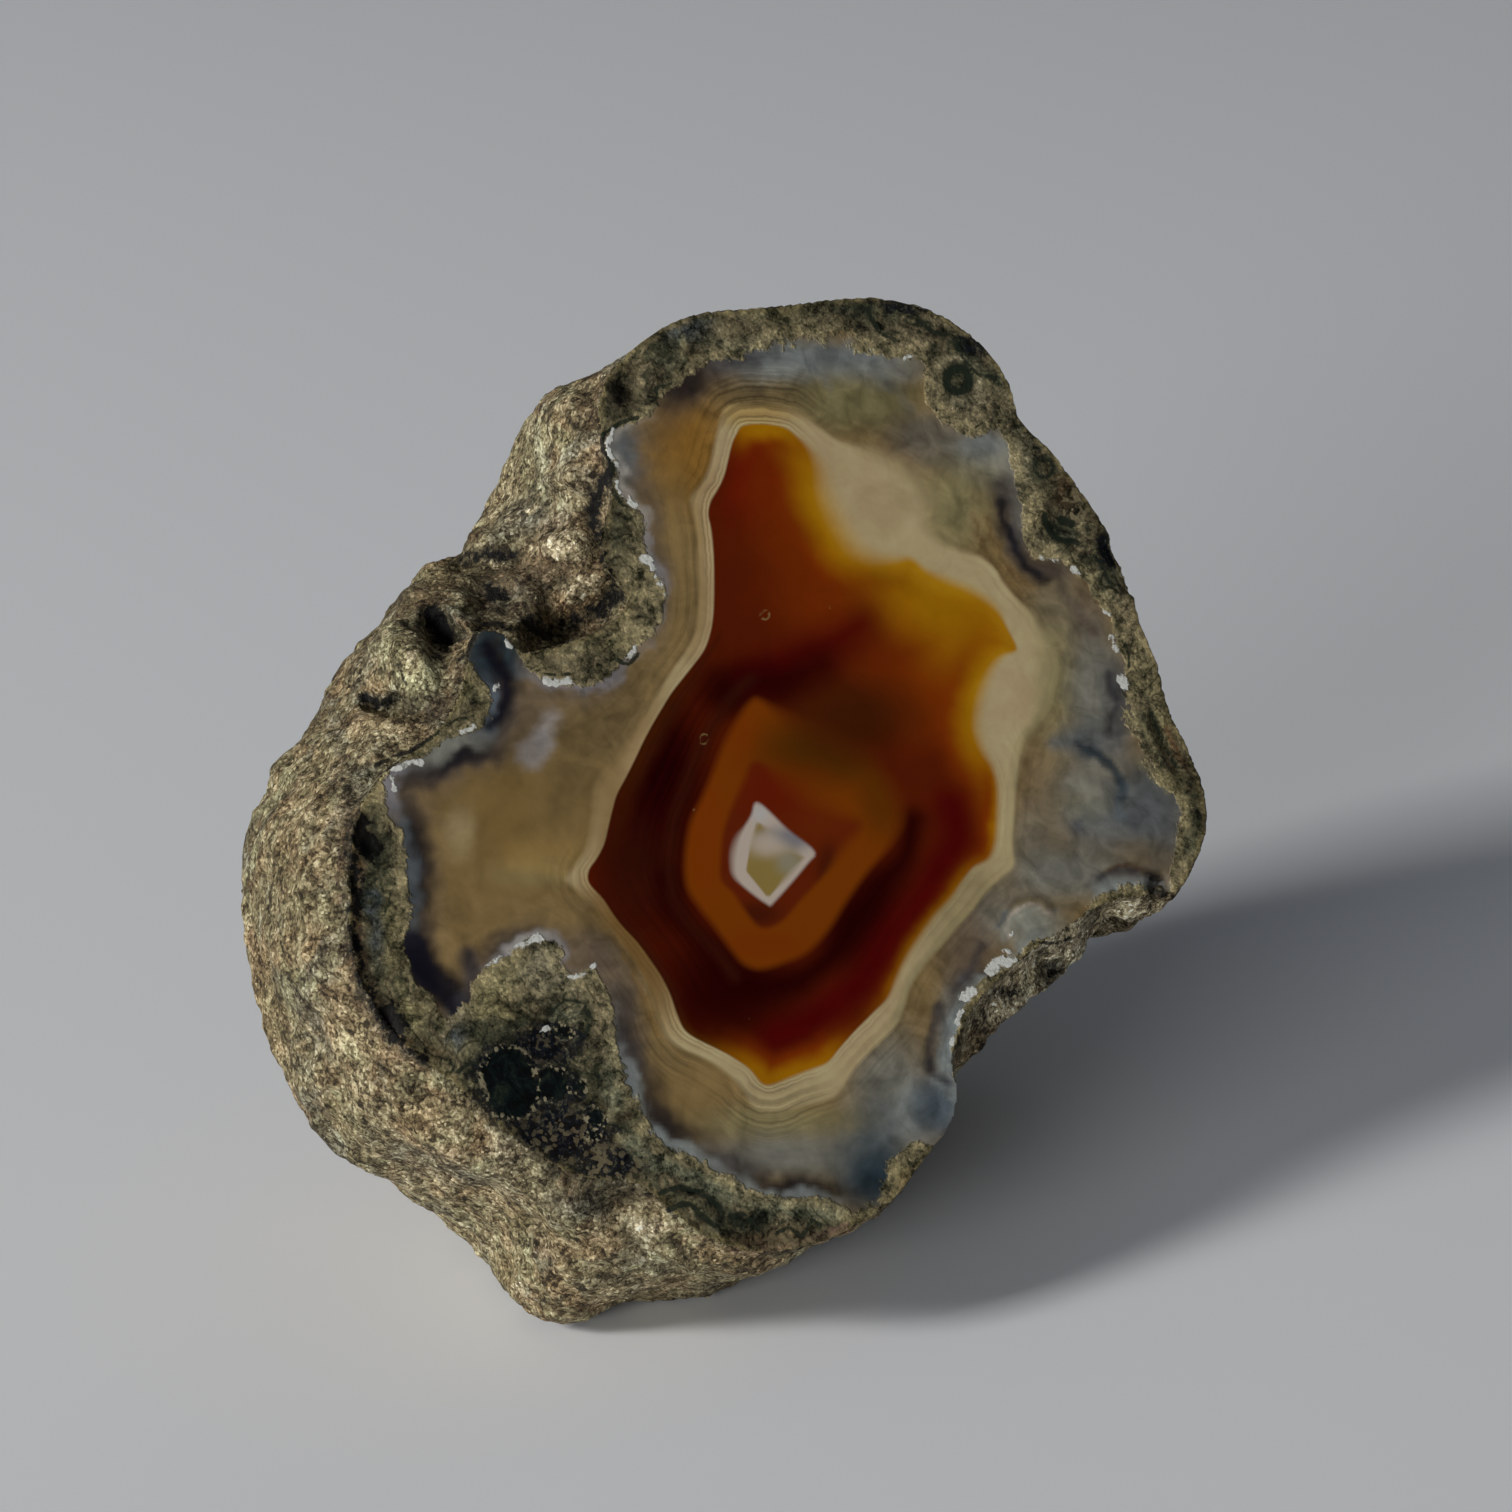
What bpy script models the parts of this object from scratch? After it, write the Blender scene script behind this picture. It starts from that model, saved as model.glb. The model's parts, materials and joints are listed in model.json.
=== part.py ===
"""Half of a banded agate nodule: sawn and polished in front, rough rind behind.

The stone rests on its rind with the polished face leaning back and turned to the right.
Its outlines are drawn as they look from in front and a little above, on a grid whose
squares are GRID wide. drop() carries a drawn point along the line of sight to the plane
of the saw cut, or to a plane behind it.
"""
from math import acos, atan2, cos, pi, radians, sin

import bmesh
import bpy
from mathutils import Vector, noise

# Driving dimensions, in metres
STONE_HEIGHT = 0.082        # from the foot to the top of the face, as drawn
STONE_DEPTH = 0.0400        # from the polished face to the deepest point of the rind
SHOULDER_DEPTH = 0.0032     # how far behind the face the rind has turned its first corner
BELLY_DEPTH = 0.0160        # how far behind the face the rind is widest
SIGHT_DISTANCE = 0.336      # from the eye that draws the outlines to the stone
SIGHT_FALL = radians(22)    # how far the line of sight looks down
FACE_TURN = radians(32)     # the polished face is turned this far to the right
FACE_LEAN = radians(39)     # and leans back this far from upright

# The drawing grid
SQUARES_HIGH = 102.5
GRID = STONE_HEIGHT / SQUARES_HIGH
SIGHT_CENTRE = (3.1, 5.4)   # the point that the eye is straight in front of, in squares
FOOT_LEVEL = 46.2           # how far the ground is below the grid's origin, in squares

# The facets
RIBS_ROUND = 160
RINGS_TO_SHOULDER = 2
RINGS_TO_BELLY = 7
RINGS_BEHIND = 11

# The rind
BACK_CENTRE = (-2.0, -19.0) # where the back is deepest, in squares
BACK_FULLNESS = 2.4         # 2 is a round back, more is a boxier one
BACK_SMOOTHING = 20         # ribs to each side that even out the outline behind
BACK_HURRY = 1.3            # how soon behind the belly the outline is fully even
SHOULDER_SHARE = 0.42       # of the way from rim to belly, where a rib draws no shoulder
HIDDEN_SHOULDER = (-1.0, -0.9)
HIDDEN_BELLY = (-5.4, -3.9)
FRONT_SWELL = 0.0004        # height of the broad swells at the rim, in metres
BACK_SWELL = 0.0026         # and at the deepest point behind
SWELL_WIDTH = 0.016
KNOBBLE_HEIGHT = 0.0006
KNOBBLE_WIDTH = 0.0060
CREASE = radians(40)        # facets that meet more sharply than this show an edge
WEAR_SOFTNESS = 0.0010      # how high above the ground the worn underside begins to turn

# The ribs run anticlockwise. Each is (rim, belly) or (rim, shoulder, belly), in squares,
# or a rim point alone where the rind behind it is out of sight.
RIBS = (
    # Crown and upper left lobe
    ((-9.6, 45.8), (-12.6, 43.4)),
    ((-11.9, 43.0), (-15.2, 41.8)),
    ((-12.7, 40.0), (-18.3, 40.2)),
    ((-12.2, 37.0), (-20.4, 37.6)),
    ((-11.3, 34.0), (-15.5, 33.6), (-21.6, 34.8)),
    ((-11.3, 31.0), (-14.0, 30.4), (-22.1, 31.8)),
    # Bite between the upper left lobe and the left lobe
    ((-12.5, 28.0), (-14.1, 27.6), (-23.0, 29.0)),
    ((-11.8, 24.0), (-13.5, 23.8), (-24.0, 27.0)),
    ((-9.7, 21.0), (-11.3, 21.2), (-26.2, 26.2)),
    ((-11.3, 18.8), (-12.5, 19.2), (-27.9, 24.8)),
    ((-14.5, 17.2), (-15.1, 17.6), (-29.7, 24.3)),
    ((-17.7, 16.2), (-18.2, 16.8), (-31.5, 23.8)),
    ((-20.5, 15.8), (-21.7, 16.5), (-32.7, 22.6)),
    # Tongue of clear chalcedony
    ((-22.5, 17.9), (-24.5, 18.0), (-33.7, 21.6)),
    ((-24.5, 17.8), (-27.0, 17.0), (-34.8, 19.8)),
    ((-25.7, 15.5), (-28.5, 15.0), (-35.9, 18.2)),
    # Left lobe
    ((-26.3, 12.0), (-37.5, 16.7)),
    ((-28.0, 8.8), (-39.0, 14.2)),
    ((-30.7, 6.2), (-40.0, 11.6)),
    ((-33.5, 4.2), (-41.9, 7.9)),
    ((-35.5, 1.8), (-44.5, 4.6)),
    ((-36.9, -1.2), (-47.4, 1.2)),
    ((-37.6, -7.2), (-49.2, -4.5)),
    ((-37.2, -14.0), (-48.1, -12.4)),
    ((-35.9, -18.2), (-47.0, -17.6)),
    ((-33.5, -21.8), (-45.7, -22.2)),
    ((-30.5, -24.8), (-44.4, -27.6)),
    ((-27.5, -27.0), (-41.6, -32.4)),
    ((-24.7, -29.3), (-37.8, -35.6)),
    ((-22.0, -32.0), (-33.2, -37.3)),
    ((-19.0, -34.3), (-29.1, -39.2)),
    ((-15.8, -36.2), (-24.6, -41.6)),
    # Foot
    ((-12.5, -37.0), (-16.5, -41.6), (-21.9, -44.6)),
    ((-9.7, -37.0), (-13.0, -42.2), (-21.6, -48.4)),
    ((-7.3, -38.3), (-10.0, -43.0), (-18.8, -50.8)),
    ((-4.9, -40.5), (-7.3, -44.0), (-15.0, -51.1)),
    ((-2.3, -42.4), (-4.5, -45.2), (-11.3, -49.8)),
    ((0.5, -43.7), (-1.5, -46.0), (-7.0, -48.4)),
    ((4.0, -44.2), (2.3, -46.0), (-2.5, -49.4)),
    # Lower edge, rising to the right
    ((7.5, -43.8), (6.2, -44.9), (2.0, -46.5)),
    ((11.0, -42.7), (9.9, -43.3), (6.0, -44.6)),
    ((14.3, -40.9), (13.2, -41.2), (9.5, -43.0)),
    ((17.5, -38.2), (16.3, -38.7), (12.0, -40.5)),
    ((20.1, -34.8), (18.8, -35.3), (14.5, -37.5)),
    ((22.7, -31.2), (21.3, -31.8), (16.8, -34.0)),
    ((23.2, -27.8), (22.5, -28.4), (18.7, -30.8)),
    # Broken ledge on the lower right
    ((22.7, -25.0), (24.1, -25.6), (20.0, -28.0)),
    ((23.5, -22.2), (26.3, -24.4), (21.3, -25.2)),
    ((25.0, -19.5), (27.5, -22.3), (23.0, -22.5)),
    ((27.7, -16.5), (31.3, -19.4), (25.7, -20.0)),
    ((31.0, -13.8), (34.5, -17.0), (28.7, -17.5)),
    ((34.5, -11.5), (36.8, -14.2), (31.5, -14.7)),
    ((38.0, -9.3), (38.8, -11.4), (34.3, -12.0)),
    ((41.5, -8.7), (42.5, -10.7), (37.5, -10.5)),
    # Right lobe and right edge
    ((45.0, -8.3),),
    ((47.0, -5.5),),
    ((48.2, -1.5),),
    ((47.8, 2.3),),
    ((46.1, 6.5),),
    ((44.2, 10.5),),
    ((43.3, 14.5),),
    ((41.4, 19.0),),
    ((40.5, 23.0),),
    ((38.5, 27.5),),
    ((35.7, 31.7),),
    ((32.5, 36.0),),
    ((29.5, 39.0),),
    # Upper right lobe and top
    ((28.5, 42.5),),
    ((26.0, 46.2),),
    ((22.3, 49.1),),
    ((18.0, 50.7),),
    ((13.3, 51.3),),
    ((3.5, 50.2),),
    ((-1.3, 49.9), (-2.1, 49.0), (-6.3, 46.4)),
    ((-5.5, 48.7), (-6.2, 47.8), (-9.7, 45.1)),
)

# Dents and lumps of the rind: middle and radius in squares, depth in metres.
# A lump has a depth below zero.
DENTS = (
    ((-12.8, 27.0), 3.5, 0.0016),     # groove along the right side of the bite
    ((-14.5, 19.8), 4.0, 0.0018),     # groove along the floor of the bite
    ((-28.3, 18.6), 2.2, 0.0022),     # slanted hole above the left lobe
    ((-34.6, 11.2), 1.9, 0.0018),     # flat hole on the left lobe
    ((-32.0, 16.0), 4.0, -0.0013),    # yellow-green lump between the two holes
    ((-15.5, 39.0), 6.0, -0.0008),    # tan boss on the upper left lobe
    ((-27.0, -33.0), 7.0, -0.0010),   # fullness above the foot
)
DENT_REACH = 1.6                      # only the rind this many radii deep is pressed in

RIGHT = Vector((1.0, 0.0, 0.0))
UPWARD = Vector((0.0, sin(SIGHT_FALL), cos(SIGHT_FALL)))
TOWARD_EYE = Vector((0.0, -cos(SIGHT_FALL), sin(SIGHT_FALL)))
FACE_NORMAL = Vector((
    sin(FACE_TURN) * cos(FACE_LEAN),
    -cos(FACE_TURN) * cos(FACE_LEAN),
    sin(FACE_LEAN),
))
EYE = (
    RIGHT * SIGHT_CENTRE[0] * GRID
    + UPWARD * SIGHT_CENTRE[1] * GRID
    + TOWARD_EYE * SIGHT_DISTANCE
)


def drop(x, y, depth):
    """The place, on the plane this deep behind the face, of a point drawn at x, y."""
    drawn = RIGHT * x * GRID + UPWARD * y * GRID
    sight = drawn - EYE
    far = (-depth - FACE_NORMAL.dot(EYE)) / FACE_NORMAL.dot(sight)
    return EYE + sight * far


def as_drawn(place):
    """Where on the drawing grid a place in space is seen, in squares."""
    sight = place - EYE
    far = -TOWARD_EYE.dot(EYE) / TOWARD_EYE.dot(sight)
    seen = EYE + sight * far
    return Vector((seen.dot(RIGHT), seen.dot(UPWARD))) / GRID


def whole_rib(points):
    """Rim, shoulder and belly of a rib, the last two worked out where it doesn't draw them."""
    rim = Vector(points[0])
    if len(points) == 1:
        return rim, rim + Vector(HIDDEN_SHOULDER), rim + Vector(HIDDEN_BELLY)
    belly = Vector(points[-1])
    if len(points) == 2:
        return rim, rim.lerp(belly, SHOULDER_SHARE), belly
    return rim, Vector(points[1]), belly


def round_curve(points, count):
    """Points spaced along a smooth closed curve through the given ones."""
    total = len(points)
    curve = []
    for i in range(count):
        along = i * total / count
        at = int(along)
        part = along - at
        before, here, there, after = (points[(at + k) % total] for k in (-1, 0, 1, 2))
        curve.append(0.5 * (
            2 * here
            + (there - before) * part
            + (2 * before - 5 * here + 4 * there - after) * part ** 2
            + (3 * here - before - 3 * there + after) * part ** 3
        ))
    return curve


def evened(ring, reach):
    """The ring with each point moved to the middle of its neighbours this far each way."""
    count = len(ring)
    return [
        sum((ring[(i + k) % count] for k in range(-reach, reach + 1)), Vector())
        / (2 * reach + 1)
        for i in range(count)
    ]


def eased(corner, widest, share):
    """A place on the rib between its shoulder and its belly, where it runs straight back."""
    spread = sin(share * pi / 2)
    backward = FACE_NORMAL.dot(widest - corner) * (share - spread)
    return corner.lerp(widest, spread) + FACE_NORMAL * backward


def rings():
    """The stone's sections, parallel to the face, from the rim to the last one behind."""
    ribs = [whole_rib(points) for points in RIBS]
    rim, shoulder, belly = (
        round_curve([rib[k] for rib in ribs], RIBS_ROUND) for k in range(3)
    )
    edge = [drop(p.x, p.y, 0.0) for p in rim]
    corner = [drop(p.x, p.y, SHOULDER_DEPTH) for p in shoulder]
    widest = [drop(p.x, p.y, BELLY_DEPTH) for p in belly]
    sections = [edge]
    for k in range(1, RINGS_TO_SHOULDER + 1):
        share = k / RINGS_TO_SHOULDER
        sections.append([a.lerp(b, share) for a, b in zip(edge, corner)])
    for k in range(1, RINGS_TO_BELLY + 1):
        share = k / RINGS_TO_BELLY
        sections.append([eased(a, b, share) for a, b in zip(corner, widest)])
    even = evened(widest, BACK_SMOOTHING)
    middle = drop(*BACK_CENTRE, BELLY_DEPTH)
    for k in range(1, RINGS_BEHIND + 1):
        share = sin(k / (RINGS_BEHIND + 1) * pi / 2)
        width = (1 - share ** BACK_FULLNESS) ** (1 / BACK_FULLNESS)
        back = FACE_NORMAL * (STONE_DEPTH - BELLY_DEPTH) * share
        outline = [a.lerp(b, min(1.0, BACK_HURRY * share)) for a, b in zip(widest, even)]
        sections.append([middle + (p - middle) * width - back for p in outline])
    return sections


def pressed(place, normal):
    """A place on the rind after the dents and lumps are worked into it."""
    seen = as_drawn(place)
    depth_now = -FACE_NORMAL.dot(place)
    press = 0.0
    for middle, radius, depth in DENTS:
        apart = (seen - Vector(middle)).length / radius
        if apart < 1 and depth_now < DENT_REACH * radius * GRID + BELLY_DEPTH / 2:
            press += depth * (1 - apart ** 2) ** 2
    return place - normal * press


def roughness(place):
    """How far the rind swells out or in at a place."""
    share = -FACE_NORMAL.dot(place) / STONE_DEPTH
    height = FRONT_SWELL + (BACK_SWELL - FRONT_SWELL) * share
    swell = height * noise.noise(place / SWELL_WIDTH)
    knobble = KNOBBLE_HEIGHT * noise.fractal(place / KNOBBLE_WIDTH, 1.0, 2.0, 2)
    return swell + knobble


def stone_mesh():
    """The closed stone: a ball whose rings are laid on the sections, flat in front."""
    sections = rings()
    last = len(sections) + 1
    work = bmesh.new()
    bmesh.ops.create_uvsphere(
        work, u_segments=RIBS_ROUND, v_segments=last, radius=1.0
    )
    front = drop(0.0, 0.0, 0.0)
    back = drop(*BACK_CENTRE, BELLY_DEPTH) - FACE_NORMAL * (STONE_DEPTH - BELLY_DEPTH)
    rough = []
    for vert in work.verts:
        ring = round(acos(max(-1.0, min(1.0, vert.co.z))) / pi * last)
        rib = round(atan2(vert.co.y, vert.co.x) / (2 * pi) * RIBS_ROUND) % RIBS_ROUND
        if ring == 0:
            vert.co = front
            hub = vert
        elif ring == last:
            vert.co = back
            rough.append(vert)
        else:
            vert.co = sections[ring - 1][rib]
            if ring > 1:
                rough.append(vert)
    bmesh.ops.dissolve_verts(work, verts=[hub])
    bmesh.ops.recalc_face_normals(work, faces=work.faces)
    work.normal_update()
    moved = [
        pressed(vert.co, vert.normal) + vert.normal * roughness(vert.co)
        for vert in rough
    ]
    for vert, place in zip(rough, moved):
        vert.co = place
    wear_underside(work)
    mesh = bpy.data.meshes.new("agate")
    work.to_mesh(mesh)
    work.free()
    return mesh


def wear_underside(work):
    """Wears the rind flat where it rests, and puts the stone over the origin."""
    ground = -FOOT_LEVEL * GRID
    for vert in work.verts:
        height = vert.co.z - ground
        if height < -WEAR_SOFTNESS:
            vert.co.z = ground
        elif height < WEAR_SOFTNESS:
            vert.co.z = ground + (height + WEAR_SOFTNESS) ** 2 / (4 * WEAR_SOFTNESS)
    low = [min(vert.co[k] for vert in work.verts) for k in range(3)]
    high = [max(vert.co[k] for vert in work.verts) for k in range(3)]
    middle = Vector(((low[0] + high[0]) / 2, (low[1] + high[1]) / 2, ground))
    bmesh.ops.translate(work, verts=work.verts, vec=-middle)


def stone_material():
    """Banded brown and grey chalcedony, seen as one warm brown."""
    material = bpy.data.materials.new("polished agate")
    material.use_nodes = True
    shader = material.node_tree.nodes["Principled BSDF"]
    shader.inputs["Base Color"].default_value = (0.22, 0.12, 0.05, 1.0)
    shader.inputs["Roughness"].default_value = 0.45
    shader.inputs["Metallic"].default_value = 0.0
    return material


def main():
    for thing in list(bpy.data.objects):
        bpy.data.objects.remove(thing)
    mesh = stone_mesh()
    mesh.shade_smooth()
    mesh.set_sharp_from_angle(angle=CREASE)
    mesh.materials.append(stone_material())
    stone = bpy.data.objects.new("agate", mesh)
    bpy.context.scene.collection.objects.link(stone)


main()
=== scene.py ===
"""The looks of half a banded agate nodule: a polished face in front, rough rind behind.

Its markings are drawn on a grid of squares laid over the polished face as it looks from
in front and a little above. drawn_places() finds where each point of the stone is on that
grid. Each zone of the face has an outline, a ground colour, soft patches and strokes.
They are painted on the mesh's points, and the materials add the edges, fine bands and grain.
"""
import json
from dataclasses import dataclass
from math import cos, pi, radians, sin

import bmesh
import bpy
import numpy as np
from mathutils import Matrix, Vector, noise
from mathutils.kdtree import KDTree


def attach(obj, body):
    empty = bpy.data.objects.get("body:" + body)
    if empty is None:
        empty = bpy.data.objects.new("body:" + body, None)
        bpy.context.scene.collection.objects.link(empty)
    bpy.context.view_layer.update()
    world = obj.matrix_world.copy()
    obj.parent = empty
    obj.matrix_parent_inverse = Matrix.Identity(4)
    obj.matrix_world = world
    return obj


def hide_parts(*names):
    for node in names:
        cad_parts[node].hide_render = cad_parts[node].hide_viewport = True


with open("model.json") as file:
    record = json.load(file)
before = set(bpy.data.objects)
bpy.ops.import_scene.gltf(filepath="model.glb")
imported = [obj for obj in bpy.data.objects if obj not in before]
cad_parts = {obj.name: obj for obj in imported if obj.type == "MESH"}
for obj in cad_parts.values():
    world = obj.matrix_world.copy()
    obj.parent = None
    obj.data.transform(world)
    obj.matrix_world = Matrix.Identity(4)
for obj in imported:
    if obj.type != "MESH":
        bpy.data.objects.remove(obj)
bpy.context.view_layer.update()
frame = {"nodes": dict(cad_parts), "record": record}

# The drawing grid
SQUARE = 0.0008             # side of a square, in metres
SIGHT_FALL = radians(22)    # how far the line of sight looks down
SIGHT_DISTANCE = 0.336      # from the eye to the middle of the grid
SIGHT_CENTRE = (3.1, 5.4)   # the point that the eye is straight in front of, in squares
PICTURE_SQUARES = 151.2     # how many squares wide the picture is

# The stone's mesh, in metres
GRAIN = 0.00029             # side of the mesh's squares on the face
FRONT_SHARE = 0.58          # of the mesh's triangles are kept on the rind in front
HIDDEN_SHARE = 0.12         # and on the rind behind
FLAT = 0.00015              # points this near the cut lie on it
ROUGH_START = 0.00005       # how far behind the cut the rind's roughness starts
RIM_REACH = 0.0009          # and how far behind it is full
GROOVES_FULL = 0.0022       # how far behind the cut the drawn grooves are full
GROOVES_END = 0.020         # and how far behind it they end
VUG_SOFTNESS = 0.8          # width of a vug's soft border, for each of its own width
CLEAR_DEPTH = 1.8           # squares inside the chalcedony's edge from which all is clear
CLEAR_SLOT, MIXED_SLOT, RIND_SLOT = 0, 1, 2
TOUCHING = 1e-6             # this near counts as touching, in metres or in squares
NO_LENGTH = 1e-12           # least square of a length that anything is divided by
CURVE_STEPS = 5             # points on a drawn curve for each given one
RING_SIDES = 8              # sides of a drawn ring, before it is made a smooth curve

# The rind's relief: height and width in metres, and how far off its noise is read
RIND_WAVES = (
    (0.00035, 0.0055, Vector((0.0, 0.0, 0.0))),
    (0.00030, 0.0021, Vector((5.0, 0.0, 0.0))),
    (0.00020, 0.0009, Vector((0.0, 9.0, 0.0))),
)
CELL_DEPTH, CELL_WIDTH = 0.00026, 0.0014
PIT_DEPTH, PIT_WIDTH, PIT_SHIFT = 0.0011, 0.0028, Vector((0.0, 0.0, 21.0))
PIT_START = 0.30            # pits are where their noise is above this

# How drawn lines wander: size of the noise in metres, reach in squares, and which noise
MATRIX_WANDER = (0.0011, 0.35, 3.0)
RIND_WANDER = (0.0016, 1.1, 11.0)
ZONE_WANDER = (0.0032, 0.35, 40.0)      # from one zone to the next the noise is one further
SECOND_NOISE = Vector((0.0, 31.0, 17.0))    # from the noise across to the noise upwards
# How a zone's strokes fray: size of the noise in metres, and which. The reach is the zone's
# raggedness. Its fringes fray twice, with the raggedness times the number in the middle
STROKE_FRAY = (0.0008, 60.0)
FRINGE_FRAYS = ((0.0009, 2, 80.0), (0.0030, 3, 90.0))

# The finishes. Reliefs and grains are in metres
POLISH_ROUGHNESS, POLISH_SHINE = 0.18, 0.09
MATRIX_ROUGHNESS, MATRIX_RELIEF, MATRIX_GRAIN = 0.50, 0.00010, 0.00050
RIND_ROUGHNESS, RIND_SHINE, RIND_RELIEF, RIND_GRAIN = 0.82, 0.25, 0.00032, 0.00056
# How much the patches, the grains, the small grains and the dust change the tone
MATRIX_WEIGHTS = (1.8, 0.22, 0.20, 0.45)
RIND_WEIGHTS = (1.25, 0.42, 0.42, 0.50)
# Broad stains: colour, size in metres, noise at which they start and are full, and strength
MATRIX_STAINS = (
    ("pine", 0.0031, 0.50, 0.62, 0.70),
    ("bark", 0.0026, 0.52, 0.62, 0.60),
    ("dun", 0.0022, 0.54, 0.64, 0.70),
)
RIND_STAINS = (
    ("clay", 0.0060, 0.47, 0.60, 0.55),
    ("grit", 0.0068, 0.50, 0.62, 0.70),
    ("lichen", 0.0047, 0.53, 0.65, 0.50),
    ("russet", 0.0040, 0.53, 0.63, 0.65),
    ("fawn", 0.0026, 0.58, 0.68, 0.30),
    ("bark", 0.0030, 0.58, 0.68, 0.35),
)
# The rings of the grown round spots, from the middle out
ORB_RINGS = (
    (0.00, "pine"), (0.10, "moss"), (0.17, "hay"), (0.24, "dun"), (0.28, "pine"),
    (0.33, "dark olive"), (0.41, "hay"), (0.48, "soil"),
)
# Tones from one shell's edge to the next. 0.5 changes nothing
SHELL_TONES = ((0.00, 0.16), (0.16, 0.32), (0.30, 0.50), (0.75, 0.50), (1.00, 0.62))
MIX_LOW, MIX_HIGH, MIX_RESULT = 6, 7, 2     # a Mix node's sockets for colours

# The studio. Lights are a name, place, side, power and colour, in metres and watts
LIGHTS = (
    ("key", (-1.68, -0.76, 0.92), 0.44, 28.0, (1.0, 0.98, 0.95)),
    ("front fill", (-1.24, -2.00, 0.32), 1.00, 34.0, (1.0, 1.0, 1.0)),
    ("back fill", (0.30, 0.95, 0.75), 0.80, 0.5, (1.0, 1.0, 1.0)),
)
SURROUND_COLOUR, SURROUND_STRENGTH = (0.80, 0.88, 1.0, 1.0), 0.07
FLOOR_SIDE, FLOOR_COLOUR, FLOOR_ROUGHNESS = 6.0, (0.90, 0.92, 0.95, 1.0), 0.9
NEAREST_SEEN = 0.01         # the camera shows nothing nearer, in metres

face_mount = next(m for m in frame["record"]["mounts"] if m["name"] == "polished_face")
FACE_POINT = Vector(face_mount["pos_m"])
FACE_NORMAL = Vector(face_mount["axis"]).normalized()
RIGHT = Vector((1.0, 0.0, 0.0))
UPWARD = Vector((0.0, sin(SIGHT_FALL), cos(SIGHT_FALL)))
TOWARD_EYE = Vector((0.0, -cos(SIGHT_FALL), sin(SIGHT_FALL)))
EYE = (
    FACE_POINT
    + RIGHT * SIGHT_CENTRE[0] * SQUARE
    + UPWARD * SIGHT_CENTRE[1] * SQUARE
    + TOWARD_EYE * SIGHT_DISTANCE
)

# The colours, as red, green and blue in hundredths of full strength, as seen
COLOURS = {
    "ink": (5, 5, 8),
    "smoke": (17, 16, 17),
    "slate": (27, 29, 30),
    "storm": (28, 31, 33),
    "mist": (42, 44, 43),
    "lilac": (40, 39, 40),
    "crust": (58, 56, 52),
    "pocket": (39, 31, 17),
    "deep teal": (13, 17, 19),
    "mauve": (30, 26, 22),
    "dove": (37, 37, 34),
    "ash": (45, 45, 41),
    "khaki": (42, 39, 27),
    "olive": (35, 33, 22),
    "umber": (31, 26, 17),
    "honey": (40, 33, 21),
    "toffee": (44, 36, 22),
    "amber beige": (43, 31, 13),
    "cream": (57, 51, 38),
    "warm cream": (54, 45, 32),
    "pale": (63, 57, 45),
    "line": (33, 26, 16),
    "rust": (34, 7, 1),
    "brick": (38, 14, 1),
    "chestnut": (28, 8, 1),
    "cocoa": (21, 8, 1),
    "orange": (41, 16, 1),
    "ochre": (52, 35, 2),
    "gold": (58, 42, 6),
    "crimson": (24, 1, 1),
    "oxblood": (11, 0, 0),
    "burnt": (18, 6, 2),
    "amber": (39, 18, 1),
    "bronze": (24, 13, 1),
    "heart": (31, 10, 2),
    "bone": (60, 55, 50),
    "frost": (58, 58, 58),
    "straw": (45, 38, 20),
    "chalk": (70, 68, 63),
    "celadon": (39, 39, 31),
    "dark olive": (26, 25, 19),
    "dun": (35, 33, 24),
    "hay": (41, 37, 28),
    "moss": (22, 22, 16),
    "pine": (10, 12, 9),
    "deep green": (3, 6, 6),
    "night blue": (3, 5, 9),
    "grape": (33, 25, 22),
    "sand": (46, 43, 34),
    "tan": (46, 42, 31),
    "dust": (51, 47, 35),
    "fawn": (58, 53, 40),
    "loam": (39, 35, 24),
    "beige": (47, 42, 30),
    "buff": (50, 41, 24),
    "caramel": (37, 27, 12),
    "grit": (38, 37, 31),
    "bark": (27, 23, 16),
    "soil": (19, 16, 12),
    "peat": (12, 11, 8),
    "clay": (48, 39, 27),
    "lichen": (51, 50, 37),
    "russet": (41, 33, 23),
    "black": (2, 2, 2),
    "ivory": (68, 63, 51),
    "cinder": (21, 13, 7),
    "dusk": (30, 33, 35),
    "cloud": (48, 46, 45),
}
FACE_LIGHT = 0.455          # how much of a white face's brightness the light brings out
RIND_LIGHT = 0.78           # and of a white rind's
BRIGHTEST = 0.85            # no surface gives back more of the light


def shade(name, light=FACE_LIGHT):
    """The colour that the surface itself has, when it is seen as COLOURS says."""
    seen = np.array(COLOURS[name]) / 100
    linear = np.where(seen <= 0.04045, seen / 12.92, ((seen + 0.055) / 1.055) ** 2.4)
    return np.minimum(linear / light, BRIGHTEST)


# What grains multiply a colour by, from the darkest to the palest
RIND_TONES = (
    (0.00, (0.10, 0.09, 0.08)), (0.25, (0.42, 0.39, 0.37)), (0.50, (1.00, 1.00, 1.00)),
    (0.75, (1.62, 1.70, 1.85)), (1.00, (2.60, 2.80, 3.30)),
)
MATRIX_TONES = (
    (0.00, (0.06, 0.07, 0.07)), (0.25, (0.38, 0.40, 0.40)), (0.50, (1.00, 1.00, 1.00)),
    (0.75, (1.60, 1.58, 1.55)), (1.00, (2.40, 2.40, 2.45)),
)

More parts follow.
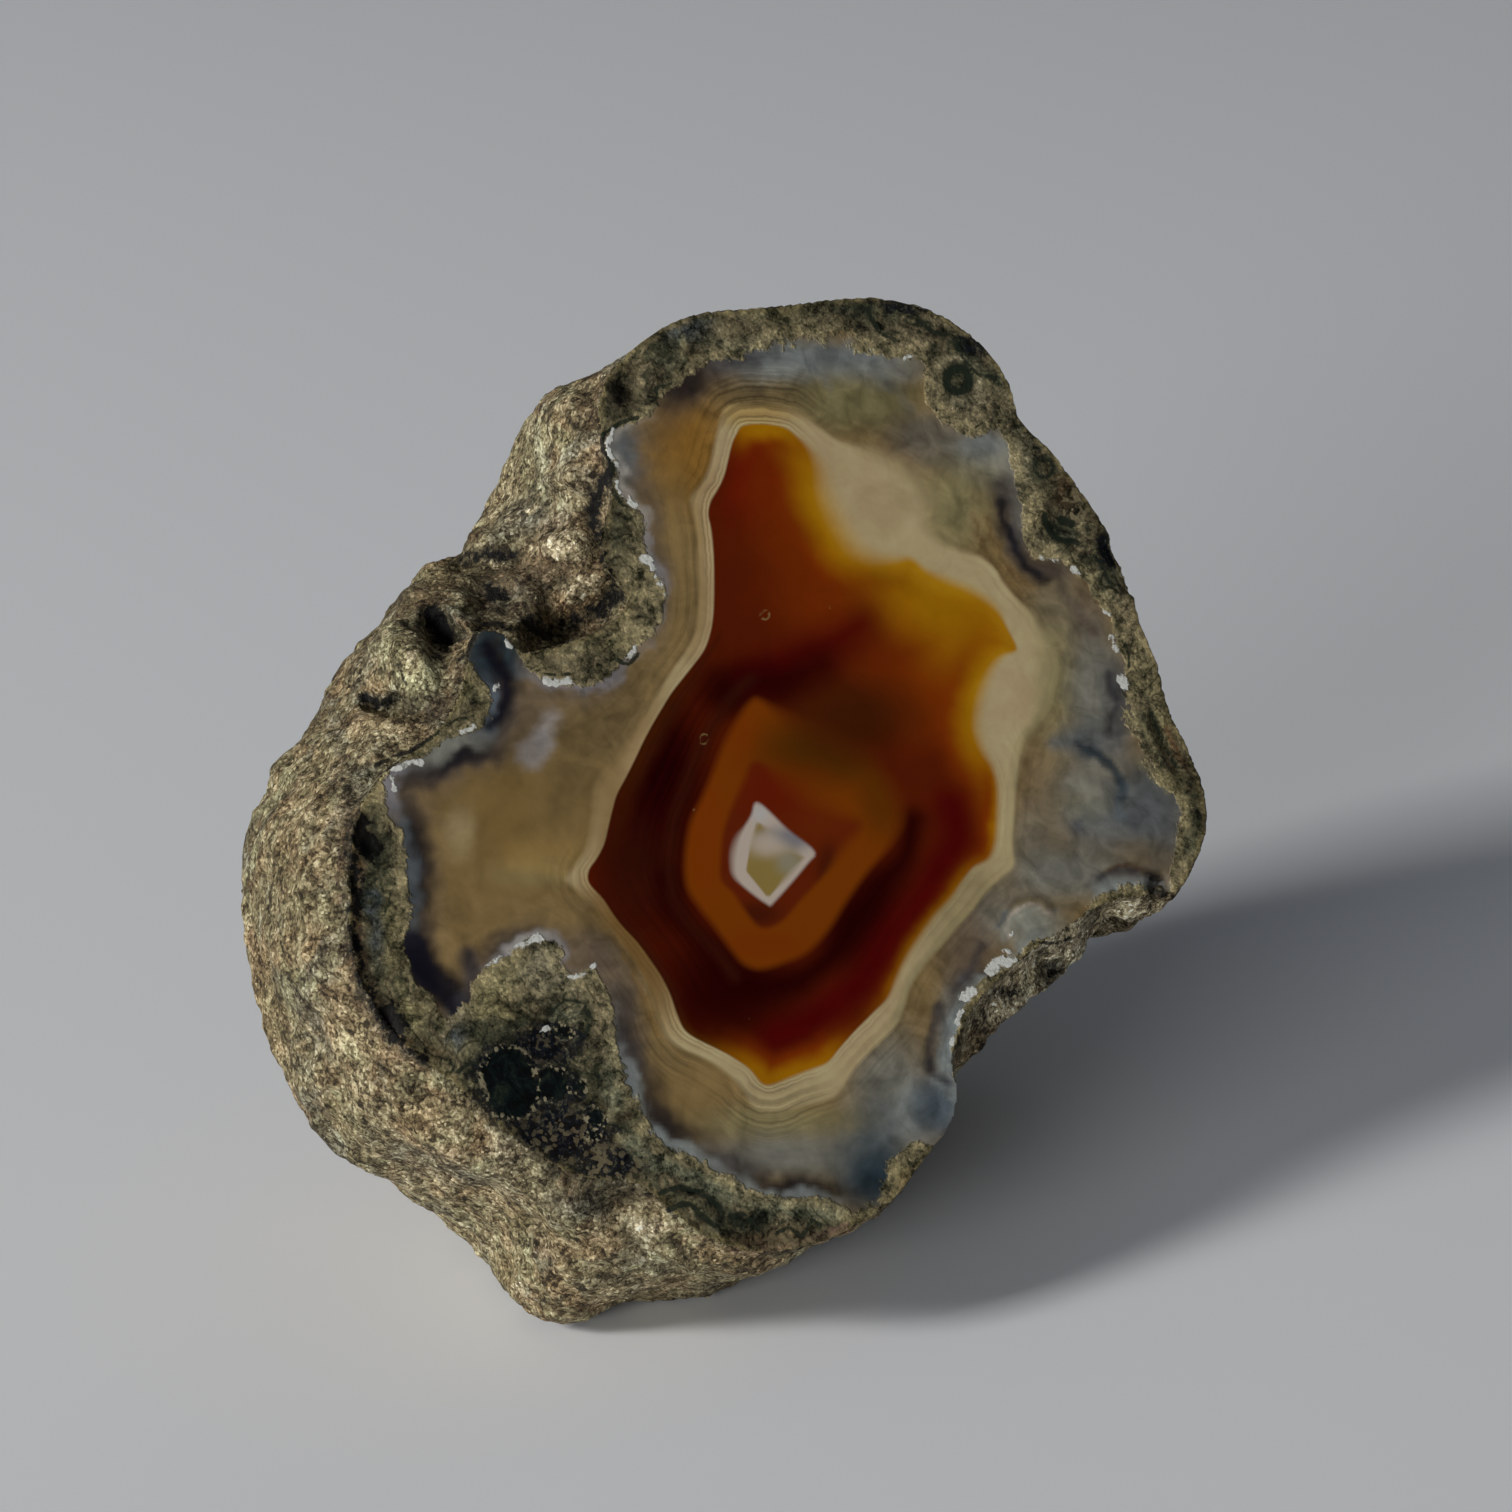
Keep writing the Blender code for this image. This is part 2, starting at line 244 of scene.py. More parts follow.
# Outlines of the zones, in squares, clockwise from the top
CHALCEDONY = (
    (-2.0, 44.6), (1.5, 45.6), (5.5, 46.7), (8.0, 47.3), (10.5, 47.2), (12.2, 47.3),
    (13.6, 46.2), (16.5, 45.4), (18.6, 45.2), (19.8, 44.6), (20.0, 42.5), (20.4, 40.5),
    (22.2, 38.7), (24.0, 37.4), (25.6, 37.7), (27.2, 37.8), (28.2, 36.3), (28.8, 34.4),
    (29.3, 32.2), (29.8, 30.0), (29.9, 27.8), (30.3, 26.0), (31.5, 25.1), (33.3, 24.9),
    (34.7, 24.0), (36.0, 22.4), (37.3, 20.6), (38.4, 19.0), (39.2, 16.6), (39.9, 14.2),
    (40.1, 12.0), (40.3, 9.5), (40.8, 7.0), (41.9, 4.8), (43.4, 2.5), (45.2, 0.6),
    (45.2, -1.6), (44.9, -4.2), (44.7, -6.6), (44.4, -8.8), (43.0, -8.6), (41.8, -7.6),
    (40.3, -7.3), (38.4, -7.9), (37.2, -8.6), (36.4, -9.8), (35.4, -11.2), (34.2, -12.4),
    (32.2, -12.8), (30.6, -13.2), (29.4, -14.3), (28.6, -15.4), (26.6, -16.7),
    (25.0, -17.6), (24.2, -19.4), (23.4, -21.4), (22.8, -23.2), (22.5, -25.2),
    (22.9, -27.2), (23.6, -28.2), (23.6, -31.2), (21.2, -33.6), (19.4, -33.2),
    (17.4, -34.1), (16.2, -35.6), (15.7, -37.4), (15.4, -39.4), (13.6, -40.4),
    (11.6, -39.4), (9.6, -38.7), (7.0, -38.7), (4.2, -38.3), (2.2, -37.7), (0.4, -36.8),
    (-1.8, -35.3), (-3.6, -34.4), (-5.4, -33.7), (-6.8, -32.6), (-7.8, -31.0),
    (-8.8, -29.2), (-9.7, -27.2), (-10.4, -25.0), (-10.9, -22.8), (-11.0, -20.6),
    (-11.4, -18.7), (-12.3, -17.0), (-13.3, -15.8), (-14.8, -16.5), (-15.8, -15.6),
    (-16.4, -14.0), (-17.6, -12.9), (-19.0, -12.5), (-20.6, -13.5), (-22.2, -14.6),
    (-24.0, -15.8), (-25.2, -17.4), (-25.8, -19.2), (-27.0, -20.9), (-28.4, -20.2),
    (-29.7, -18.7), (-30.9, -17.0), (-31.8, -15.0), (-32.0, -13.0), (-31.4, -11.0),
    (-31.5, -8.4), (-31.9, -5.6), (-32.2, -2.6), (-33.3, -0.8), (-33.9, 1.4), (-34.0, 3.4),
    (-32.6, 4.6), (-30.4, 5.0), (-28.9, 6.4), (-27.0, 7.4), (-24.9, 7.8), (-23.7, 8.9),
    (-23.3, 10.6), (-23.8, 12.2), (-24.6, 13.8), (-25.9, 15.2), (-25.2, 17.0),
    (-24.2, 18.2), (-22.6, 18.3), (-21.2, 17.6), (-20.8, 16.0), (-20.2, 14.6),
    (-18.6, 13.2), (-16.2, 12.7), (-14.0, 12.4), (-12.2, 12.9), (-10.8, 13.8),
    (-9.8, 15.2), (-8.4, 16.6), (-7.0, 17.9), (-6.1, 19.5), (-5.9, 21.2), (-6.5, 22.8),
    (-7.3, 24.2), (-8.0, 25.8), (-8.2, 28.0), (-8.4, 29.8), (-9.6, 30.8), (-10.7, 32.0),
    (-11.0, 33.3), (-10.7, 34.5), (-11.6, 35.6), (-12.0, 37.2), (-11.0, 38.2),
    (-9.0, 38.9), (-7.3, 39.6), (-6.4, 41.0), (-4.6, 42.6), (-3.4, 43.6),
)
CREAM = (
    (0.4, 40.4), (3.0, 40.5), (6.0, 40.3), (8.0, 39.3), (9.6, 38.1), (11.4, 36.9),
    (13.6, 36.2), (16.0, 35.3), (18.0, 34.2), (19.9, 32.8), (20.7, 30.8), (20.2, 28.8),
    (21.4, 26.9), (23.6, 25.9), (25.6, 25.3), (26.9, 24.2), (28.0, 22.6), (29.4, 20.9),
    (30.8, 19.6), (31.8, 17.8), (33.0, 16.2), (33.5, 14.4), (33.2, 12.6), (32.7, 10.6),
    (31.5, 8.8), (30.2, 7.2), (29.6, 5.2), (29.2, 2.6), (29.0, -0.5), (28.8, -3.4),
    (28.9, -5.5), (27.6, -6.8), (26.2, -8.2), (24.8, -10.0), (23.2, -11.8), (21.6, -13.6),
    (19.8, -15.7), (18.5, -17.8), (17.9, -19.8), (17.0, -21.7), (15.6, -23.2),
    (13.9, -24.8), (12.7, -26.2), (11.8, -27.7), (10.6, -28.8), (8.6, -29.4),
    (6.4, -29.9), (4.4, -30.2), (2.8, -29.6), (1.9, -28.2), (0.6, -26.7), (-1.0, -25.4),
    (-3.0, -24.4), (-5.0, -23.5), (-6.1, -22.4), (-6.7, -20.8), (-7.2, -18.9),
    (-8.0, -16.9), (-9.2, -14.9), (-10.6, -12.9), (-12.0, -11.0), (-13.2, -9.4),
    (-14.6, -8.2), (-15.9, -7.0), (-15.1, -5.8), (-13.9, -4.2), (-13.2, -2.2),
    (-12.9, 0.0), (-12.7, 2.0), (-12.0, 3.6), (-10.9, 5.0), (-9.8, 6.6), (-8.6, 8.6),
    (-7.5, 10.5), (-6.3, 12.4), (-5.1, 14.2), (-3.9, 15.9), (-3.0, 17.8), (-2.7, 20.0),
    (-2.7, 22.5), (-2.9, 25.0), (-2.8, 27.4), (-3.1, 29.2), (-3.5, 30.6), (-3.3, 31.6),
    (-2.3, 32.8), (-1.5, 34.6), (-1.1, 36.4), (-0.7, 38.2), (-0.3, 39.6),
)
CORE = (
    (1.8, 38.4), (3.6, 38.6), (5.8, 38.3), (7.2, 37.4), (8.6, 36.0), (9.5, 34.2),
    (10.0, 32.0), (10.9, 30.0), (12.0, 28.0), (13.2, 26.3), (15.0, 25.3), (17.0, 25.1),
    (18.6, 25.2), (20.2, 24.0), (22.2, 23.1), (24.4, 22.2), (26.2, 21.1), (27.4, 19.9),
    (28.2, 18.3), (29.2, 16.1), (27.9, 15.4), (26.8, 14.2), (25.9, 12.2), (25.3, 10.0),
    (25.2, 8.0), (25.9, 5.9), (26.8, 4.3), (27.3, 2.2), (27.3, -0.6), (27.1, -3.2),
    (26.4, -4.9), (24.9, -5.7), (23.8, -7.0), (22.6, -8.8), (21.0, -10.6), (19.6, -12.6),
    (18.3, -14.6), (17.2, -16.8), (16.3, -18.8), (14.8, -20.3), (12.9, -22.2),
    (11.4, -23.9), (10.2, -25.3), (8.2, -26.1), (6.2, -26.9), (4.6, -27.5), (3.6, -27.3),
    (2.4, -25.9), (0.7, -24.7), (-1.2, -23.7), (-3.0, -22.8), (-4.1, -21.9),
    (-4.8, -20.4), (-5.5, -18.4), (-6.4, -16.6), (-7.6, -14.8), (-8.8, -13.2),
    (-10.2, -11.7), (-11.2, -10.4), (-12.2, -8.9), (-13.6, -7.3), (-13.6, -6.0),
    (-12.8, -4.8), (-12.1, -3.4), (-11.7, -1.8), (-11.3, -0.1), (-10.8, 1.6), (-9.9, 3.3),
    (-9.0, 5.1), (-8.2, 6.8), (-7.3, 8.5), (-6.3, 10.2), (-5.3, 11.8), (-4.2, 13.2),
    (-3.1, 14.6), (-2.1, 16.0), (-1.5, 17.6), (-1.2, 19.4), (-1.1, 21.6), (-1.1, 24.0),
    (-1.2, 26.4), (-1.4, 28.2), (-1.7, 29.6), (-1.4, 30.9), (-0.7, 32.1), (-0.1, 33.4),
    (0.3, 35.0), (0.7, 36.6), (1.2, 37.7),
)
AMBER = (
    (3.4, 11.1), (6.0, 9.3), (9.0, 7.3), (12.0, 5.9), (14.6, 4.6), (16.2, 2.9),
    (17.3, 0.6), (17.4, -1.6), (16.2, -3.8), (14.2, -6.2), (12.2, -9.0), (10.3, -12.0),
    (8.2, -14.2), (5.8, -15.3), (3.6, -15.9), (1.9, -15.4), (0.6, -13.9), (-0.9, -11.8),
    (-2.6, -9.6), (-3.7, -7.9), (-4.0, -5.6), (-3.8, -3.0), (-3.3, -0.9), (-2.2, 1.4),
    (-1.1, 4.0), (-0.1, 6.6), (1.2, 9.0), (2.3, 10.6),
)
HEART = (
    (3.0, 4.9), (5.6, 3.4), (8.4, 1.2), (11.0, -0.2), (13.6, -1.4), (12.0, -3.6),
    (10.0, -6.4), (7.6, -9.0), (5.6, -11.2), (3.7, -11.8), (2.4, -10.6), (0.9, -8.4),
    (-0.4, -6.9), (-0.4, -4.4), (-0.1, -2.0), (0.8, 0.6), (1.9, 3.0),
)
DIAMOND = (
    (3.3, 0.75), (6.2, -1.9), (8.9, -4.1), (8.2, -5.4), (5.0, -9.1), (4.2, -9.4),
    (1.2, -7.0), (0.7, -5.2), (1.1, -3.2), (2.6, -0.6),
)
WINDOW = ((3.2, -1.1), (5.5, -2.9), (7.9, -4.8), (4.3, -8.8), (2.1, -6.1), (2.5, -3.6))


def circle(middle, radius):
    """A closed line of points around a middle, for a ring drawn on the face."""
    turns = [2 * pi * k / RING_SIDES for k in range(RING_SIDES + 1)]
    return tuple((middle[0] + radius * cos(t), middle[1] + radius * sin(t)) for t in turns)


# Soft patches: colour, middle, half widths and strength, in squares
CHALCEDONY_PATCHES = (
    ("pocket", (-20.0, -1.6), (10.0, 7.0), 0.9),
    ("toffee", (-26.0, -8.6), (4.4, 5.6), 0.5),
    ("amber beige", (-3.6, 36.4), (4.2, 7.0), 1.0),
    ("umber", (3.5, 42.4), (7.0, 2.6), 0.9),
    ("mauve", (-0.5, 44.6), (5.0, 1.4), 0.8),
    ("dove", (8.0, 45.2), (8.0, 2.4), 0.9),
    ("olive", (13.5, 40.8), (6.5, 3.2), 0.9),
    ("dove", (16.0, 44.2), (5.0, 1.8), 0.9),
    ("mauve", (20.5, 37.2), (4.5, 3.0), 0.7),
    ("ash", (26.4, 35.3), (4.0, 3.2), 0.8),
    ("khaki", (23.2, 30.2), (4.0, 5.0), 0.9),
    ("toffee", (26.0, 25.5), (2.5, 4.0), 0.25),
    ("honey", (33.4, 20.0), (4.5, 6.0), 0.8),
    ("dove", (33.4, 20.0), (3.0, 4.0), 0.4),
    ("caramel", (-15.4, 1.6), (2.2, 5.0), 0.3),
    ("mauve", (36.4, 18.4), (2.0, 4.0), 0.7),
    ("khaki", (32.8, 12.5), (3.0, 7.0), 0.8),
    ("dove", (36.8, 11.5), (2.8, 7.0), 0.9),
    ("honey", (32.5, 0.5), (4.0, 8.0), 0.4),
    ("mauve", (31.0, 2.0), (2.4, 6.0), 0.3),
    ("dove", (37.0, 1.5), (4.5, 5.0), 0.8),
    ("slate", (42.8, -0.5), (4.8, 6.0), 0.9),
    ("umber", (40.5, -4.4), (3.5, 1.8), 0.6),
    ("dove", (34.5, -6.4), (5.5, 2.8), 0.9),
    ("mauve", (24.6, -13.0), (3.5, 6.0), 0.8),
    ("ash", (30.6, -11.4), (3.4, 2.2), 0.9),
    ("mist", (22.6, -23.0), (1.6, 5.0), 0.8),
    ("dove", (16.6, -28.0), (4.4, 6.0), 0.9),
    ("slate", (15.6, -31.6), (2.6, 2.4), 0.8),
    ("slate", (14.2, -35.0), (3.8, 4.6), 1.0),
    ("mist", (18.8, -30.4), (2.2, 3.0), 0.6),
    ("storm", (21.4, -29.8), (3.0, 3.6), 1.0),
    ("khaki", (5.0, -31.2), (9.0, 2.0), 0.8),
    ("dove", (6.5, -34.6), (9.0, 2.4), 0.9),
    ("honey", (-5.5, -27.0), (4.0, 6.0), 0.8),
    ("toffee", (-1.0, -27.2), (3.0, 1.6), 0.6),
    ("umber", (-15.0, 8.6), (7.0, 3.6), 0.8),
    ("mauve", (-20.2, 9.6), (3.6, 2.4), 0.6),
    ("cream", (-26.4, -2.2), (1.6, 2.4), 0.55),
    ("toffee", (-16.0, 1.0), (4.0, 8.0), 0.5),
    ("khaki", (-18.5, -6.2), (5.0, 1.5), 0.5),
    ("honey", (-17.5, -10.0), (6.0, 1.6), 0.6),
    ("mauve", (-13.8, -14.2), (3.4, 2.4), 0.7),
    ("toffee", (-5.0, 25.0), (1.6, 8.0), 0.7),
    ("honey", (-7.0, 14.5), (3.5, 3.5), 0.5),
    ("umber", (-15.4, 1.8), (3.6, 6.0), 0.45),
    ("khaki", (36.2, 0.4), (2.6, 1.6), 0.5),
    ("smoke", (35.2, -1.8), (0.7, 0.9), 0.7),
    ("ash", (34.8, 2.4), (1.2, 1.0), 0.2),
    ("deep teal", (15.2, -36.6), (3.4, 3.6), 1.0),
    ("deep teal", (20.8, -30.0), (2.2, 3.0), 0.25),
    ("deep teal", (41.6, 3.4), (1.8, 2.0), 0.35),
    ("dusk", (36.8, 7.0), (3.4, 2.0), 0.5),
    ("dusk", (37.0, -1.4), (3.6, 3.0), 0.45),
    ("dove", (30.6, -4.6), (2.6, 5.0), 0.55),
    ("dove", (27.0, -9.6), (2.4, 3.0), 0.5),
    ("ash", (37.2, 1.2), (1.4, 1.4), 0.25),
    ("ash", (30.4, -12.8), (1.6, 0.8), 0.5),
    ("dusk", (3.0, 45.6), (9.0, 1.2), 0.5),
    ("dusk", (13.0, 45.6), (4.4, 1.4), 0.5),
    ("mist", (7.0, 44.6), (7.0, 1.6), 0.45),
    ("khaki", (12.0, 40.6), (4.6, 2.2), 0.35),
    ("dove", (20.5, 37.2), (3.6, 2.6), 0.4),
    ("dusk", (25.8, 36.6), (2.8, 1.6), 0.6),
    ("buff", (-18.0, -4.4), (4.6, 2.2), 0.6),
    ("toffee", (-3.6, -28.0), (3.6, 3.0), 0.5),
)
# Fringes along a zone's edge: colour, how far in it reaches, softness, strength, and the
# middle and half widths of the stretch that has it, in squares
CHALCEDONY_FRINGES = (
    ("mauve", 3.6, 1.6, 0.5, (-31.0, -6.0), (3.4, 13.0)),
    ("ink", 2.5, 1.1, 0.92, (-31.2, -5.0), (2.6, 12.0)),
    ("mauve", 4.6, 1.4, 0.6, (-27.0, 5.4), (6.0, 5.0)),
    ("smoke", 3.7, 0.9, 0.8, (-27.4, 5.6), (5.4, 4.0)),
    ("ink", 3.1, 0.8, 0.8, (-27.6, 5.6), (5.0, 3.4)),
    ("ink", 6.0, 0.8, 0.95, (-23.2, 14.6), (3.0, 4.2)),
    ("smoke", 3.0, 1.2, 0.8, (-22.4, 10.4), (2.2, 3.6)),
    ("ink", 2.3, 1.4, 0.9, (-29.4, -16.4), (3.0, 4.0)),
    ("slate", 9.0, 1.0, 0.8, (-26.6, -20.4), (1.4, 1.4)),
    ("smoke", 1.9, 1.1, 0.75, (-22.0, -13.6), (6.0, 2.8)),
    ("mauve", 2.2, 1.4, 0.6, (-15.4, 12.0), (6.0, 2.6)),
    ("mauve", 2.2, 1.0, 0.75, (-6.6, 25.0), (1.8, 8.0)),
    ("mauve", 3.4, 1.4, 0.6, (-9.0, 34.0), (3.0, 5.0)),
    ("slate", 2.6, 1.0, 0.85, (-10.6, 35.4), (2.2, 4.0)),
    ("mauve", 3.0, 1.4, 0.6, (-4.0, 42.0), (4.4, 4.0)),
    ("ink", 1.9, 1.0, 0.85, (-4.2, 42.4), (3.2, 2.8)),
    ("smoke", 1.9, 1.2, 0.6, (1.6, 45.2), (4.4, 1.6)),
    ("slate", 1.9, 0.8, 0.7, (29.2, 30.0), (1.8, 5.4)),
    ("smoke", 1.6, 0.9, 0.7, (33.0, 24.0), (3.0, 2.0)),
    ("slate", 2.2, 1.2, 0.7, (39.2, 10.6), (2.0, 5.4)),
    ("smoke", 1.5, 0.8, 0.6, (39.4, 10.6), (1.6, 3.6)),
    ("smoke", 1.9, 1.0, 0.6, (40.2, -7.0), (4.4, 1.8)),
    ("smoke", 1.7, 0.9, 0.6, (26.0, -16.4), (3.0, 2.4)),
    ("smoke", 2.6, 1.0, 0.6, (23.0, -22.0), (1.8, 6.0)),
    ("mauve", 3.4, 1.4, 0.8, (-11.6, -17.6), (3.4, 5.0)),
    ("smoke", 3.0, 1.3, 0.9, (-9.8, -24.8), (2.8, 7.0)),
    ("ink", 2.8, 1.2, 0.9, (-6.0, -31.4), (4.4, 5.4)),
    ("smoke", 2.8, 1.4, 0.8, (0.0, -36.0), (5.0, 2.4)),
    ("ink", 2.4, 1.0, 0.9, (7.0, -38.0), (6.0, 2.2)),
    ("crust", 0.8, 0.5, 0.6, (-9.5, 31.0), (3.5, 9.0)),
    ("lilac", 0.8, 0.4, 0.75, (-7.0, 24.0), (1.8, 7.0)),
    ("lilac", 0.8, 0.5, 0.8, (-12.0, 13.0), (9.0, 3.5)),
    ("lilac", 1.0, 0.4, 0.9, (-33.0, 2.4), (2.0, 3.0)),
    ("ash", 1.7, 0.6, 0.85, (-28.0, 6.6), (4.0, 2.6)),
    ("storm", 1.1, 0.4, 0.9, (-22.6, 10.6), (3.0, 4.0)),
    ("deep teal", 1.5, 0.5, 0.95, (-23.2, 16.0), (3.4, 3.4)),
    ("slate", 1.1, 0.8, 0.8, (-31.6, -5.4), (2.0, 8.0)),
    ("lilac", 0.6, 0.4, 0.8, (-20.0, -14.0), (6.0, 3.0)),
    ("crust", 0.5, 0.4, 0.5, (-20.0, -13.6), (3.0, 2.0)),
    ("mist", 0.9, 0.5, 0.75, (-6.0, -30.0), (8.0, 10.0)),
    ("mist", 0.8, 0.5, 0.65, (6.0, -38.0), (6.0, 2.0)),
    ("mist", 1.1, 0.4, 0.8, (40.0, -8.0), (4.4, 1.4)),
    ("mist", 0.7, 0.5, 0.8, (27.5, -15.0), (6.0, 4.0)),
    ("mist", 1.3, 0.4, 0.85, (22.9, -23.0), (1.6, 6.0)),
    ("mist", 0.5, 0.3, 0.7, (22.5, -31.5), (2.6, 3.4)),
)
# Strokes: colour, width, softness, strength and points, in squares
CHALCEDONY_STROKES = (
    ("ink", 3.0, 1.5, 0.95, (
        (-31.2, -13.4), (-30.6, -15.2), (-29.2, -16.8), (-27.7, -18.2), (-26.6, -19.6),
    )),
    ("cloud", 2.8, 1.6, 0.75, ((-19.4, 5.6), (-18.4, 6.6))),
    ("cloud", 1.6, 1.5, 0.6, ((-18.2, 7.4), (-17.3, 9.2))),
    ("smoke", 1.8, 1.5, 0.85, ((-25.6, -14.6), (-25.2, -16.8), (-25.9, -19.4))),
    ("buff", 0.8, 1.2, 0.5, ((-16.0, -6.4), (-18.4, -5.6), (-21.4, -5.4))),
    ("ink", 1.2, 1.0, 0.9, (
        (-23.8, 16.4), (-22.9, 14.8), (-21.9, 12.9), (-22.1, 10.8), (-23.4, 8.4),
    )),
    ("smoke", 1.8, 1.6, 0.7, (
        (27.3, 32.4), (27.6, 30.4), (28.0, 28.4), (28.8, 26.5), (29.9, 24.8), (31.2, 23.5),
    )),
    ("ink", 0.8, 0.9, 0.85, (
        (27.5, 31.0), (27.9, 28.8), (28.7, 26.8), (29.7, 25.0), (30.8, 23.8), (32.0, 22.8),
    )),
    ("line", 0.4, 0.5, 0.8, ((25.0, 29.6), (25.8, 27.0), (26.9, 24.9), (28.4, 23.0), (30.0, 21.6))),
    ("line", 0.4, 0.5, 0.8, ((26.4, 29.0), (26.9, 26.9), (27.8, 25.1), (29.2, 23.4), (30.8, 22.2))),
    ("mauve", 0.8, 0.9, 0.8, ((33.8, 22.0), (34.8, 20.6), (35.8, 19.1), (37.0, 17.8))),
    ("smoke", 0.8, 1.0, 0.8, ((38.4, 13.6), (38.8, 12.0), (39.2, 10.8), (38.8, 9.4), (38.6, 7.8))),
    ("slate", 1.4, 1.8, 0.7, ((33.0, 6.6), (35.0, 6.8), (36.8, 6.2))),
    ("ink", 0.7, 1.0, 0.75, ((35.4, 6.5), (36.8, 6.0), (38.0, 5.0), (38.9, 3.8), (39.8, 2.4))),
    ("storm", 0.9, 1.0, 0.6, ((39.8, 2.6), (39.4, 1.0), (39.6, -0.6))),
    ("smoke", 0.5, 0.7, 0.85, ((37.5, -6.7), (38.5, -6.1), (40.0, -5.9), (41.5, -6.1))),
    ("cinder", 0.4, 0.5, 0.7, ((38.0, -6.0), (39.4, -5.4), (41.0, -5.5), (42.2, -6.2))),
    ("deep teal", 0.7, 0.8, 0.7, ((36.0, 5.9), (37.6, 5.4), (38.8, 4.2), (39.6, 2.6), (39.8, 1.2))),
    ("khaki", 0.35, 0.5, 0.6, ((41.4, 5.0), (42.8, 3.4), (44.2, 1.9))),
    ("smoke", 1.1, 1.5, 0.5, ((-1.0, 44.2), (0.8, 44.6), (3.0, 44.8))),
    ("slate", 0.6, 1.2, 0.5, ((8.0, 44.8), (9.4, 43.6), (10.6, 42.0))),
    ("slate", 0.6, 1.2, 0.4, ((14.6, 44.6), (16.0, 43.0), (17.4, 41.8), (18.2, 40.0))),
    ("line", 0.3, 0.5, 0.5, ((27.4, 26.4), (28.4, 24.6), (30.0, 22.8), (31.6, 21.8))),
    ("caramel", 0.4, 0.7, 0.6, (
        (-13.6, -9.8), (-11.0, -13.2), (-9.0, -16.4), (-7.8, -19.4), (-6.8, -22.6),
    )),
    ("slate", 0.5, 0.6, 0.8, (
        (27.4, -11.8), (28.2, -9.9), (29.8, -8.7), (31.8, -8.8), (33.2, -10.0),
    )),
    ("bone", 0.3, 0.4, 0.6, (
        (28.1, -12.6), (28.3, -11.0), (29.4, -9.9), (31.0, -9.5), (32.6, -10.4),
    )),
    # Black in the deep vug pressed at (43.2, -7.4): painted shade in the hole
    ("black", 1.5, 0.9, 0.95, ((42.9, -6.9), (43.5, -7.8), (43.9, -8.8))),
    ("umber", 0.8, 1.0, 0.8, ((28.5, -9.6), (30.0, -8.8), (31.5, -8.9), (33.0, -9.6))),
    ("ash", 0.4, 0.6, 0.8, ((27.8, -12.8), (28.2, -11.4), (29.6, -10.3), (31.4, -9.9))),
    ("smoke", 0.8, 1.1, 0.7, ((25.9, -13.6), (25.2, -15.0), (24.0, -16.8), (23.0, -18.2))),
    ("smoke", 0.9, 1.0, 0.8, ((21.3, -19.6), (20.8, -21.4), (20.5, -23.4), (20.4, -25.6))),
    ("smoke", 0.9, 0.9, 0.7, ((20.4, -25.4), (21.0, -26.6), (22.2, -27.4))),
    ("mist", 0.35, 0.6, 0.7, ((20.6, -26.8), (22.0, -28.2), (23.0, -30.0))),
)
CREAM_PATCHES = (
    ("warm cream", (-2.2, 27.0), (2.0, 13.0), 0.9),
    ("warm cream", (-10.0, 4.0), (4.0, 10.0), 0.9),
    ("toffee", (-11.6, 1.0), (1.8, 7.0), 0.7),
    ("warm cream", (-10.0, -13.0), (5.0, 9.0), 0.8),
    ("buff", (3.0, 39.8), (5.0, 1.6), 0.9),
    ("beige", (24.0, -10.0), (5.0, 7.0), 0.8),
    ("warm cream", (16.6, 28.4), (4.6, 4.0), 0.35),
    ("cream", (-2.2, 27.0), (1.4, 13.0), 0.3),
    ("cream", (15.6, 30.2), (3.2, 3.2), 0.9),
    ("khaki", (20.5, 33.0), (3.0, 3.0), 0.5),
    ("pale", (28.0, 12.0), (2.4, 4.5), 0.3),
    ("khaki", (32.6, 13.0), (1.6, 5.0), 0.7),
    ("beige", (6.0, -28.8), (8.0, 2.4), 0.6),
)
CREAM_FRINGES = (
    ("caramel", 2.5, 0.7, 0.95, (-9.0, -13.4), (7.0, 9.5)),
    ("line", 1.6, 0.7, 0.4, (-8.0, -15.0), (5.0, 6.0)),
    ("toffee", 0.9, 0.6, 0.7, (-3.0, 24.0), (2.0, 12.0)),
    ("toffee", 1.0, 0.8, 0.6, (-8.0, 9.0), (5.0, 7.0)),
    ("khaki", 0.7, 0.6, 0.7, (31.5, 6.0), (3.5, 14.0)),
    ("khaki", 0.6, 0.5, 0.6, (20.0, -17.0), (8.0, 9.0)),
)
CREAM_STROKES = (
    ("khaki", 0.3, 1.2, 0.10, circle((15.6, 30.0), 2.6)),
    ("pale", 1.2, 2.4, 0.25, circle((15.6, 30.0), 3.6)),
)
